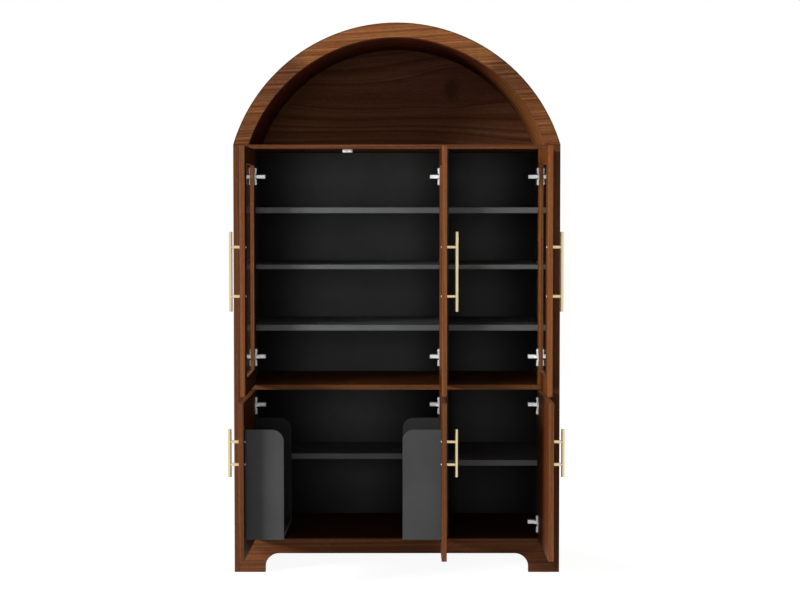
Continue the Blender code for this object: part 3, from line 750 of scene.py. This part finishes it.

# %% [markdown]
# ## The carcass in walnut
# The table gives each board the way of its grain, its finish, and its tone at the cabinet's left and right
# side; these tones paint in part the light and shade that each board has in this one view. Some boards have
# a shade of their own on top. The ring is glued up from blocks, light at the crown and dark at the shoulders,
# with painted shade on its eased edge. The lining is lit on its right only and darkens toward the rear, as
# painted light and shade. The niche's back has painted shade near the top, and the base rail has the doors'
# painted shadow while its legs have painted light. Lamps could be set to do some of this, but only for one
# view, so the shade is painted onto the boards.

# %% Tones of the carcass
UPRIGHT, LEVEL = (0, 0, 1), (1, 0, 0)
RISING = (1.0, 0.0, 0.04)
# The tones at the left and right side paint in part the light and shade of each board in this view.
carcass_leaves = {
    "side_panel_left": (UPRIGHT, walnut, 0.60, 0.60),
    "side_panel_right": (UPRIGHT, walnut, 0.60, 0.60),
    "front_stile_left": (UPRIGHT, walnut, 0.44, 0.44),
    "front_stile_right": (UPRIGHT, walnut, 0.60, 0.60),
    "arch_face_ring": (RISING, walnut_ring, 1.0, 1.0),
    "arch_outer_skin": (LEVEL, walnut, 0.72, 0.72),
    "arch_lining": (LEVEL, walnut_lining, 1.0, 1.0),
    "arch_rear_ring": (LEVEL, walnut, 0.72, 0.72),
    "niche_back": (LEVEL, walnut_sheet, 1.25, 0.75),
    "niche_board": (LEVEL, walnut, 0.54, 0.80),
    "mid_board": (LEVEL, walnut, 0.70, 0.95),
    "bottom_board": (LEVEL, walnut, 0.90, 0.90),
    "base_front_rail": (LEVEL, walnut, 0.86, 0.72),
    "base_back_rail": (LEVEL, walnut, 0.80, 0.80),
}
# Angles are in degrees from the crown, to the right; depths are shares of the way to the rear.
RING_JOINTS = (-90, -38, -34, 34, 38, 58, 62, 90)
RING_SHADES = (0.78, 0.72, 1.36, 1.43, 0.73, 0.70, 1.0, 1.25)
# Painted shade on the ring's eased edge.
EASED_FACING, EASED_SHADE = (-0.9, -0.2), 0.35
# Painted light and shade on the lining, by angle and by depth.
LINING_ANGLES = (-90, -30, -12, 3, 20, 32, 45, 60, 75)
LINING_SHADES = (0.70, 0.72, 0.84, 0.76, 0.46, 0.40, 0.74, 0.95, 1.35)
LINING_DEPTHS = (0.0, 0.45, 0.77, 1.0)
LINING_FADE = (1.05, 1.30, 0.62, 0.42)
# Painted shade toward the top of the niche's back.
NICHE_SHADES = (1.15, 0.55)
# The doors' painted shadow on the base rail, and painted light on its legs.
RAIL_HEIGHTS = (0.0, 0.045, 0.07, 0.085, 0.095)
RAIL_SHADES = (1.25, 1.15, 0.62, 0.80, 0.93)


def own_shade(name, points, normals):
    """What a board adds to its tone, per face corner: the ring's leaf tones, and painted light and shade."""
    low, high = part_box(name)
    turn = np.degrees(np.arctan2(points[:, 0], points[:, 2] - arch_middle))
    if name == "arch_face_ring":
        eased = (normals[:, 1] > EASED_FACING[0]) & (normals[:, 1] < EASED_FACING[1])
        return np.interp(turn, RING_JOINTS, RING_SHADES) * np.where(eased, EASED_SHADE, 1.0)
    if name == "arch_lining":
        inward = (points[:, 1] - low.y) / (high.y - low.y)
        return np.interp(turn, LINING_ANGLES, LINING_SHADES) * np.interp(inward, LINING_DEPTHS, LINING_FADE)
    if name == "niche_back":
        return np.interp(points[:, 2], (low.z, high.z), NICHE_SHADES)
    if name == "base_front_rail":
        return np.interp(points[:, 2], RAIL_HEIGHTS, RAIL_SHADES)
    return 1.0


print("walnut boards:", len(carcass_leaves))

# %% [markdown]
# ## Dressing the walnut boards
# The thin edges of a board carry a glued band, a shade lighter than the face. A band could be a strip of its
# own, but the tape is far thinner than a pixel, so the edge faces get another finish instead. The tops of the
# two boards inside the cupboards lie in deep shade, which the darker copy of the veneer paints on them. The
# map of the niche's back is shifted so that its origin, where the knot sits, comes to the knot's place.

# %% Dress the walnut carcass
FLAT = 0.9
BOARD_CUT = (0.16, 0.5, 3.7)
KNOT_PLACE = (1.818, 0.216)
# Painted shade on the tops of the boards inside the cupboards.
TOP_TONES = {"mid_board": 0.25, "bottom_board": 0.13}
BENT_PIECES = ("arch_face_ring", "arch_outer_skin", "arch_lining", "arch_rear_ring")
for number, (name, (grain, sheet, left, right)) in enumerate(carcass_leaves.items()):
    shift = leaf_shift(number, *BOARD_CUT)
    if name == "niche_back":
        shift = (-KNOT_PLACE[0], -KNOT_PLACE[1])
    lay_veneer(nodes[name], grain, shift, arch_middle if name in BENT_PIECES else None)
    low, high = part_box(name)
    thin = min(range(3), key=lambda axis: (high - low)[axis])
    points, normals, face = corners_of(nodes[name].data)
    tone = np.interp(points[:, 0], (cad_low.x, cad_high.x), (left, right)) * own_shade(name, points, normals)
    finishes = [sheet, walnut_band, walnut_shaded]
    index = np.zeros(len(nodes[name].data.polygons), np.int32)
    if name not in BENT_PIECES and not name.startswith("front_stile"):
        index[face] = np.abs(normals[:, thin]) < FLAT
    if name in TOP_TONES:
        level = np.abs(normals[:, 2]) > FLAT
        tone[level] = TOP_TONES[name]
        index[face[level]] = finishes.index(walnut_shaded)
    dress(name, finishes, index, tone)
    print(name, "tone from", round(float(tone.min()), 2), "to", round(float(tone.max()), 2))

# %% [markdown]
# ## Charcoal boards, handles and panes
# The shelves catch the light on their front edges, which are painted as a paler grey. Walls and dividers are
# the deep one. The front end panel of a rack is lighter than its rear one, which has painted shade as it
# stands in the cupboard's shade. The back panels are painted darker toward their feet as shade, and their
# rear faces, which lie in no corner, are plain. The bars of the two lower outer handles have a painted
# reflection of the door, darker on the side that faces it, because polished metal mirrors the wood there.

# %% Dress the other pieces
# Painted light on the shelves' front edges.
SHELF_EDGE = 1.75
CUPBOARD_EDGE = 0.95
WALL_TONE = 0.5
# Painted shade on the rear end panels of the racks.
RACK_FADE = (0.28, 0.30)
RACK_FRONT = 0.9
RACK_REAR = {"rack_left": 0.22, "rack_middle": 0.55}
# Painted shade: each back panel darker at its foot than at its head.
BACK_FINISHES = {"back_panel_upper": (back_upper, 0.72, 1.02), "back_panel_lower": (back_lower, 0.35, 1.05)}
REAR_FACING = 0.5
# Painted reflection of the door on the inner side of the lower outer bars.
BAR_TURN = (0.15, 0.75)
BAR_REFLECTIONS = {"handle_lower_left": 0.4, "handle_lower_right": 0.3}
plain_finishes = {"hinge_arm": nickel, "door_glass": pane_glass, "magnetic_catch": white_plastic}
for name, obj in nodes.items():
    points, normals, face = corners_of(obj.data)
    if name.startswith("rack_"):
        along = doors[name.replace("rack", "door_lower")].measured(points)[:, 0]
        dress(name, [charcoal], None, np.interp(along, RACK_FADE, (RACK_REAR[name], RACK_FRONT)))
    elif name.startswith("shelf_"):
        edge = SHELF_EDGE * (CUPBOARD_EDGE if "cupboard" in name else 1.0)
        dress(name, [charcoal], None, np.where(np.abs(normals[:, 2]) > FLAT, 1.0, edge))
    elif name in BACK_FINISHES:
        made, foot, head = BACK_FINISHES[name]
        low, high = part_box(name)
        rear = np.zeros(len(obj.data.polygons), np.int32)
        rear[face] = normals[:, 1] > REAR_FACING
        dress(name, [made, charcoal], rear, np.interp(points[:, 2], (low.z, high.z), (foot, head)))
    elif name.startswith(("inner_wall", "divider")):
        dress(name, [charcoal_deep], None, WALL_TONE)
    elif name.startswith("handle_"):
        facing = normals @ np.array(doors[name.replace("handle", "door")].back)
        dress(name, [gold], None, np.interp(facing, BAR_TURN, (1.0, BAR_REFLECTIONS.get(name, 1.0))))
    for start, made in plain_finishes.items():
        if name.startswith(start):
            dress(name, [made])
print("dressed:", sum(1 for obj in nodes.values() if "tone" in obj.data.attributes))

# %% [markdown]
# ## Metal on the doors
# The hinge cups are pressed into the doors, so they belong to a door's solid and can't simply be given a
# material as a piece. They could be picked by hand. Their places are known, so the script finds them: every
# face that stands proud of the inner face, or lines the bore of a cup, is nickel.

# %% Faces of the hinge cups
CUP_CENTRE = 0.013
CUP_RIM = 0.0195
SKIN = 0.0002
hinge_heights = {}
for name in nodes:
    if name.startswith("hinge_arm"):
        level, column = name.split("_")[2:4]
        low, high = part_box(name)
        hinge_heights.setdefault(f"door_{level}_{column}", []).append((low.z + high.z) / 2)


def hinge_faces(door, mesh):
    """True for the faces of the hinge cups, their rims and flanges."""
    points, _, face = corners_of(mesh)
    spots = door.measured(points)
    proud = np.ones(len(mesh.polygons), bool)
    np.logical_and.at(proud, face, spots[:, 1] > INNER_FACE - 5 * SKIN)
    raised = np.zeros(len(mesh.polygons), bool)
    np.logical_or.at(raised, face, spots[:, 1] > INNER_FACE + SKIN)
    found = proud & raised
    for height in hinge_heights[door.body]:
        inside = np.hypot(spots[:, 0] - CUP_CENTRE, spots[:, 2] - height) < CUP_RIM + SKIN
        within = np.ones(len(mesh.polygons), bool)
        np.logical_and.at(within, face, inside & (spots[:, 1] > -AXIS_BEHIND_FACE + SKIN))
        found |= within
    return found


print("hinge heights:", {body: [round(z, 3) for z in heights] for body, heights in hinge_heights.items()})

# %% [markdown]
# ## The doors
# A door's two faces carry upright veneer and its four edges a band, with painted shade on the lower and the
# left doors and painted light on the right ones. The inner faces are darker than the outer ones as painted
# shade, and on the right doors they have painted light toward the free edge. On the upper right door the
# hinge stile is seen through the pane: its lip before the glass has painted light, and the one behind the
# glass painted shade, because at so flat an angle a pane mirrors more than it lets through.

# %% Dress the doors
FREE_EDGE = 0.351167
DOOR_CUT = (0.2, 0.45, 2.9)
OUTSIDE_TONE = 0.75
# Painted light and shade on the edge bands, by level and by column.
BAND_TONES = {"upper": 1.02, "lower": 0.78}
COLUMN_TONES = {"left": 0.80, "middle": 1.0, "right": 1.28}
# Painted shade on the inner faces, and painted light toward the free edge on the right.
INNER_TONES = {"left": (0.21, 0.21), "middle": (0.25, 0.25), "right": (0.22, 0.62)}
# Upper right: painted light inside by the hinge; on the hinge stile painted light before the pane, shade
# behind.
HINGE_SIDE_TONES = {"door_upper_right": 0.60}
HINGE_LIPS = {"door_upper_right": (1.22, 0.22)}
HINGE_STILE = 0.10
PANE_BACK = INNER_FACE - DOOR_THICKNESS / 2
for number, door in enumerate(doors.values()):
    name = door.panel()
    lay_veneer(nodes[name], UPRIGHT, leaf_shift(number, *DOOR_CUT))
    mesh = nodes[name].data
    points, normals, face = corners_of(mesh)
    facing = normals @ np.array(door.back)
    along, back, _ = door.measured(points).T
    band = BAND_TONES[door.level] * COLUMN_TONES[door.column]
    if door.body in HINGE_LIPS:
        before, behind = HINGE_LIPS[door.body]
        band = np.where(along < HINGE_STILE, np.where(back > PANE_BACK, before, behind), band)
    at_hinge, at_free_edge = INNER_TONES[door.column]
    at_hinge = HINGE_SIDE_TONES.get(door.body, at_hinge)
    inner = np.interp(along, (0.0, FREE_EDGE), (at_hinge, at_free_edge))
    tone = np.where(facing > FLAT, inner, np.where(facing < -FLAT, OUTSIDE_TONE, band))
    finishes = [walnut, walnut_band, nickel, walnut_shaded]
    index = np.zeros(len(mesh.polygons), np.int32)
    index[face] = np.where(facing > FLAT, finishes.index(walnut_shaded), np.abs(facing) < FLAT)
    metal = hinge_faces(door, mesh)
    index[metal] = finishes.index(nickel)
    dress(name, finishes, index, tone)
    print(name, "metal faces:", int(metal.sum()))

# %% [markdown]
# ## Patterns for small hardware
# Screws, pins, plates and nails repeat many times. Each could be modelled in place, but a pattern made once
# keeps them alike. Patterns stand on their foot with z as the way out of the board, so that a place needs
# only a point and a direction. Round ones are turned from a profile, and flat ones are prisms with eased
# edges.

# %% Pattern helpers
TURNS = 24
CORNER_STEPS = 4


def pattern(name, points, faces):
    mesh = bpy.data.meshes.new(name)
    mesh.from_pydata(points, [], faces)
    mesh.update()
    return mesh


def turned(name, profile):
    """A round solid from (radius, height) pairs, from the foot to the top, closed at both ends."""
    points, faces = [], []
    for radius, height in profile:
        for step in range(TURNS):
            angle = 2 * math.pi * step / TURNS
            points.append((radius * math.cos(angle), radius * math.sin(angle), height))
    for ring in range(len(profile) - 1):
        for step in range(TURNS):
            here, there = ring * TURNS + step, ring * TURNS + (step + 1) % TURNS
            faces.append((here, there, there + TURNS, here + TURNS))
    faces.append(tuple(reversed(range(TURNS))))
    faces.append(tuple(range(len(points) - TURNS, len(points))))
    return pattern(name, points, faces)


def prism(name, outline, low, high):
    """A straight solid over an outline that runs against the clock."""
    count = len(outline)
    points = [(x, y, low) for x, y in outline] + [(x, y, high) for x, y in outline]
    faces = [(i, (i + 1) % count, (i + 1) % count + count, i + count) for i in range(count)]
    faces += [tuple(reversed(range(count))), tuple(range(count, 2 * count))]
    return pattern(name, points, faces)


def plate(name, width, height, thickness, corner, ease):
    """A flat plate with round corners and eased upper edges, its middle at the origin."""
    outline = []
    for quarter, (x, y) in enumerate(((1, 1), (-1, 1), (-1, -1), (1, -1))):
        for step in range(CORNER_STEPS + 1):
            angle = math.pi / 2 * (quarter + step / CORNER_STEPS)
            across = x * (width / 2 - corner) + corner * math.cos(angle)
            outline.append((across, y * (height / 2 - corner) + corner * math.sin(angle)))
    solid = bmesh.new()
    solid.from_mesh(prism(name, outline, 0.0, thickness))
    upper = [edge for edge in solid.edges if all(v.co.z > thickness / 2 for v in edge.verts)]
    bmesh.ops.bevel(solid, geom=upper, offset=ease, segments=2, affect="EDGES", profile=0.5)
    mesh = bpy.data.meshes.new(name)
    solid.to_mesh(mesh)
    solid.free()
    return mesh


print("pattern helpers ready")

# %% [markdown]
# ## Screws and setting out
# A screw's head is turned from a profile, and a cross is cut out of it for the driver. A painted cross would
# vanish in other light, so it is a real cut, made with a Boolean. Setting out joins all copies of a pattern
# that belong together into one piece, which then rides with its door or with the carcass.

# %% Screw heads and setting out
# Shares of the head's radius and height, from the foot to the top.
HEAD_PROFILE = [(1.0, -0.15), (1.0, 0.3), (0.94, 0.6), (0.76, 0.85), (0.45, 1.0)]
CROSS_ARM, CROSS_HALF_WIDTH = 0.58, 0.15
CROSS_FLOOR, CROSS_TOP = 0.45, 1.5
SMALL_PART_LIMIT = 40.0


def carved(base, cutter):
    """The first pattern with the second cut out of it."""
    pair = [bpy.data.objects.new(mesh.name, mesh) for mesh in (base, cutter)]
    for obj in pair:
        bpy.context.scene.collection.objects.link(obj)
    cut = pair[0].modifiers.new("cut", "BOOLEAN")
    cut.object, cut.operation, cut.solver = pair[1], "DIFFERENCE", "EXACT"
    bpy.context.view_layer.update()
    result = bpy.data.meshes.new_from_object(pair[0].evaluated_get(bpy.context.evaluated_depsgraph_get()))
    for obj in pair:
        bpy.data.objects.remove(obj)
    return result


def screw_head(name, radius, height):
    head = turned(name, [(radius * r, height * h) for r, h in HEAD_PROFILE])
    long, wide = CROSS_ARM * radius, CROSS_HALF_WIDTH * radius
    cross = [(long, -wide), (long, wide), (wide, wide), (wide, long), (-wide, long), (-wide, wide)]
    cross += [(-x, -y) for x, y in cross]
    return carved(head, prism("cross", cross, CROSS_FLOOR * height, CROSS_TOP * height))


def set_out(name, mesh, places, body, made):
    """Copies of a pattern as one piece. A place is a point, the way out of the board, and the way of y."""
    points = np.array([v.co for v in mesh.vertices])
    faces = [tuple(face.vertices) for face in mesh.polygons]
    all_points, all_faces = [], []
    for spot, out, up in places:
        out, up = Vector(out).normalized(), Vector(up)
        side = up.cross(out).normalized()
        turn = np.array([side, out.cross(side), out])
        all_faces += [tuple(v + len(points) * len(all_points) for v in face) for face in faces]
        all_points.append(points @ turn + np.array(spot))
    joined = pattern(name, np.concatenate(all_points).tolist(), all_faces)
    joined.materials.append(made)
    soften(joined, SMALL_PART_LIMIT)
    obj = bpy.data.objects.new(name, joined)
    bpy.context.scene.collection.objects.link(obj)
    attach(obj, body)
    return obj


handle_screw = screw_head("handle_screw", radius=0.0035, height=0.0020)
small_screw = screw_head("small_screw", radius=0.0031, height=0.0014)
print("faces of a screw head:", len(handle_screw.polygons))

# %% [markdown]
# ## Hardware on the doors
# Each handle is held by two screws through the door, and their heads show as bright dots on the inner face;
# those of the lower right door are painted dark as shade. The flange of a hinge carries a plated cover plate
# above and below the arm, with a screw in each. The left and the middle upper door have a thin steel plate
# where the magnet of the catch meets them, painted dark as shade. All of it could be part of the doors'
# solids, but such small parts would only make those heavier, so they are pieces of their own.

# %% Door hardware
UP = (0.0, 0.0, 1.0)
HANDLE_FROM_FREE_EDGE = 0.030
HANDLE_SCREWS = {"upper": 0.170, "lower": 0.079}
# Handle screws painted dark as shade.
SHADED_SCREWS = ("door_lower_right",)
COVER_RISE = 0.0060
COVER_START = 0.0097
COVER_END = 0.0312
COVER_SCREW = 0.025
STRIKE_ALONG = 0.3434
hinge_cover = plate(
    "hinge_cover", width=0.012, height=COVER_END - COVER_START, thickness=COVER_RISE, corner=0.0015,
    ease=0.0006)
strike_plate = plate(
    "strike_plate", width=0.014, height=0.0076, thickness=0.0009, corner=0.0012, ease=0.0002)
for door in doors.values():
    ending = f"{door.level}_{door.column}"
    low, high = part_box("handle_" + ending)
    along, half = FREE_EDGE - HANDLE_FROM_FREE_EDGE, HANDLE_SCREWS[door.level] / 2
    spots = [door.place(along, INNER_FACE, (low.z + high.z) / 2 + side * half) for side in (-1, 1)]
    made = shaded_nickel if door.body in SHADED_SCREWS else nickel
    places = [(spot, door.back, UP) for spot in spots]
    set_out("handle_screws_" + ending, handle_screw, places, door.body, made)
    covers, screws = [], []
    for height in hinge_heights[door.body]:
        for side in (-1, 1):
            middle = height + side * (COVER_START + COVER_END) / 2
            covers.append((door.place(CUP_CENTRE, INNER_FACE, middle), door.back, UP))
            spot = door.place(CUP_CENTRE, INNER_FACE + COVER_RISE, height + side * COVER_SCREW)
            screws.append((spot, door.back, (side, 0.0, 1.0)))
    set_out("hinge_covers_" + ending, hinge_cover, covers, door.body, nickel)
    set_out("cover_screws_" + ending, small_screw, screws, door.body, nickel)
# The strike plates are nickel painted dark as shade.
catch_low, catch_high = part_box("magnetic_catch")
for column in ("left", "middle"):
    door = doors["door_upper_" + column]
    spot = door.place(STRIKE_ALONG, INNER_FACE, (catch_low.z + catch_high.z) / 2)
    set_out("strike_plate_" + column, strike_plate, [(spot, door.back, UP)], door.body, shaded_nickel)

# %% [markdown]
# ## Hardware inside the carcass
# A hinge arm is clipped to a plate, and two screws hold that plate to the wall. Loose shelves rest on four
# pins each, pushed into holes in the walls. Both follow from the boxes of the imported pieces, so they stay in
# place when a size changes.

# %% Plate screws and shelf pins
PLATE_THICKNESS = 0.008
PLATE_SCREW = 0.016
PIN_RADIUS = 0.0025
PIN_LENGTH, PIN_SHOULDER, PIN_TIP = 0.008, 0.0072, 0.8
PIN_INSET = 0.045
LOOSE_SHELVES = ("shelf_low", "shelf_top", "shelf_cupboard")
pin_profile = [(PIN_RADIUS, 0.0), (PIN_RADIUS, PIN_SHOULDER), (PIN_TIP * PIN_RADIUS, PIN_LENGTH)]
shelf_pin = turned("shelf_pin", pin_profile)
screws, pins = [], []
for name in nodes:
    low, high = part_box(name)
    if name.startswith("hinge_arm"):
        wall, out = (low.x, 1.0) if "left" in name else (high.x, -1.0)
        for side in (-1, 1):
            height = (low.z + high.z) / 2 + side * PLATE_SCREW
            spot = (wall + out * PLATE_THICKNESS, high.y - PLATE_SCREW, height)
            screws.append((spot, (out, 0.0, 0.0), (0.0, 1.0, 1.0)))
    elif name.startswith(LOOSE_SHELVES):
        for y in (low.y + PIN_INSET, high.y - PIN_INSET):
            for x, out in ((low.x, 1.0), (high.x, -1.0)):
                pins.append(((x, y, low.z - PIN_RADIUS), (out, 0.0, 0.0), UP))
set_out("mounting_plate_screws", small_screw, screws, "carcass", nickel)
# The shelf pins are nickel painted dark as shade.
set_out("shelf_pins", shelf_pin, pins, "carcass", shaded_nickel)
print("plate screws:", len(screws), "shelf pins:", len(pins))

# %% [markdown]
# ## Nails at the back
# The thin back panels are nailed round their edges, at an even spacing. Nobody sees them from the front, but
# a cabinet without them could not be put together.

# %% Back panel nails
NAIL_SPACING = 0.12
NAIL_INSET = 0.012
NAIL_PROFILE = [(0.0022, 0.0), (0.0022, 0.0003), (0.0016, 0.0006)]
nail_head = turned("nail_head", NAIL_PROFILE)
nails = []
for name in BACK_FINISHES:
    low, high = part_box(name)
    left, right = low.x + NAIL_INSET, high.x - NAIL_INSET
    foot, head = low.z + NAIL_INSET, high.z - NAIL_INSET
    columns = max(2, round((high.x - low.x) / NAIL_SPACING))
    rows = max(2, round((high.z - low.z) / NAIL_SPACING))
    spots = [(x, z) for x in np.linspace(left, right, columns) for z in (foot, head)]
    spots += [(x, z) for z in np.linspace(foot, head, rows)[1:-1] for x in (left, right)]
    nails += [((x, high.y, z), (0.0, 1.0, 0.0), UP) for x, z in spots]
set_out("back_panel_nails", nail_head, nails, "carcass", nickel)
print("nails:", len(nails))

# %% [markdown]
# ## The white backdrop
# Catalogue pictures have a plain white background. A bright white world would also flood the cabinet with
# light, so the world is white only to rays from the camera, from metal and from glass, and much weaker to all
# the others.

# %% Backdrop
WHITE = (1.0, 1.0, 1.0, 1.0)
SKY_LIGHT = 0.05


def seen_directly(tree):
    """1 for rays from the camera, from metal and from glass."""
    rays = add(tree, "LightPath").outputs
    seen = maths(tree, "MAXIMUM", rays["Is Camera Ray"], rays["Is Glossy Ray"])
    return maths(tree, "MAXIMUM", seen, rays["Is Transmission Ray"])


bpy.context.scene.view_settings.view_transform = "Standard"
world = bpy.data.worlds.new("studio")
bpy.context.scene.world = world
world.use_nodes = True
sky = world.node_tree
sky.nodes.clear()
dim = add(sky, "Background", {"Color": WHITE, "Strength": SKY_LIGHT})
white = add(sky, "Background", {"Color": WHITE, "Strength": 1.0})
both = add(sky, "MixShader", {0: seen_directly(sky), 1: dim.outputs[0], 2: white.outputs[0]})
add(sky, "OutputWorld", {"Surface": both.outputs[0]})
print("light of the sky on the cabinet:", SKY_LIGHT)

# %% [markdown]
# ## The pale floor
# The floor glows almost white to the camera, and a grey that lamps light fills up the rest, so that a trace
# of the cabinet's shadow stays. Further out it turns fully white and runs into the backdrop without an edge.

# %% Floor
FLOOR_SIZE = 30.0
FLOOR_DROP = 0.0005
FLOOR_GLOW = 0.93
FLOOR_SHADE = 0.25
FLOOR_GREYS = (0.70, 0.74)
WHITE_FROM = (1.2, 3.0)
floor_material, tree, shader = finish("pale_floor")
speckle = noise(tree, own_place(tree), scale=40.0, detail=3.0)
pale = mixed(tree, speckle, *((grey, grey, grey, 1.0) for grey in FLOOR_GREYS))
tree.links.new(pale, shader.inputs["Base Color"])
shader.inputs["Roughness"].default_value = 0.8
glow = add(tree, "Emission", {"Color": WHITE, "Strength": FLOOR_GLOW})
shade = add(tree, "BsdfDiffuse", {"Color": (FLOOR_SHADE, FLOOR_SHADE, FLOOR_SHADE, 1.0)})
shaded = add(tree, "AddShader", {0: glow.outputs[0], 1: shade.outputs[0]})
reach = add(tree, "VectorMath", {0: own_place(tree)}, operation="LENGTH").outputs["Value"]
far = ranged(tree, reach, *WHITE_FROM, 0.0, 1.0)
plain = add(tree, "Emission", {"Color": WHITE, "Strength": 1.0})
white_floor = add(tree, "MixShader", {0: far, 1: shaded.outputs[0], 2: plain.outputs[0]})
both = add(tree, "MixShader", {0: seen_directly(tree), 1: shader.outputs[0], 2: white_floor.outputs[0]})
tree.links.new(both.outputs[0], tree.nodes["Material Output"].inputs["Surface"])
half = FLOOR_SIZE / 2
floor_corners = [(-half, -half, 0), (half, -half, 0), (half, half, 0), (-half, half, 0)]
floor_mesh = pattern("floor", floor_corners, [(0, 1, 2, 3)])
floor_mesh.materials.append(floor_material)
floor = bpy.data.objects.new("floor", floor_mesh)
floor.location.z = -FLOOR_DROP
bpy.context.scene.collection.objects.link(floor)
floor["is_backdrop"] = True
print("floor:", FLOOR_SIZE, "m wide")

# %% [markdown]
# ## The lamps
# The light that shapes the cabinet is a softbox far to the left and not much higher than the doors: it shines
# through the left pane and leaves the right side in shade. A broad, weak lamp beside the camera lifts the
# front. Two more stand behind, to the right and to the left, and light the side and the back for whoever
# walks round. A lamp's power falls off with the square of its distance, so each is set by how bright it makes
# a white card instead.

# %% Lamps
# Place, target, width and height, and level.
LAMPS = {
    "left_softbox": ((-10.6, -5.1, 3.27), (0.0, -0.1, 1.0), (2.9, 1.9), 1.4),
    "front_lamp": ((-0.6, -6.2, 1.9), (0.0, 0.0, 1.1), (3.4, 2.2), 0.19),
    "right_lamp": ((8.0, 5.0, 3.2), (0.0, 0.1, 1.0), (3.0, 2.4), 0.42),
    "back_lamp": ((-6.5, 7.5, 3.4), (0.0, 0.2, 1.0), (3.0, 2.4), 0.42),
}
for name, (place, target, size, level) in LAMPS.items():
    lamp = bpy.data.lights.new(name, "AREA")
    lamp.shape = "RECTANGLE"
    lamp.size, lamp.size_y = size
    reach = Vector(target) - Vector(place)
    lamp.energy = level * math.pi**2 * reach.length_squared
    made = bpy.data.objects.new(name, lamp)
    made.location = place
    made.rotation_euler = reach.to_track_quat("-Z", "Y").to_euler()
    made.visible_glossy = False
    bpy.context.scene.collection.objects.link(made)
    print(name, f"{lamp.energy:.0f} W from {reach.length:.1f} m")

# %% [markdown]
# ## The last measure
# The finished model has to keep the size of the solids, so its box is measured before the frame is closed.

# %% Finish
low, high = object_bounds()
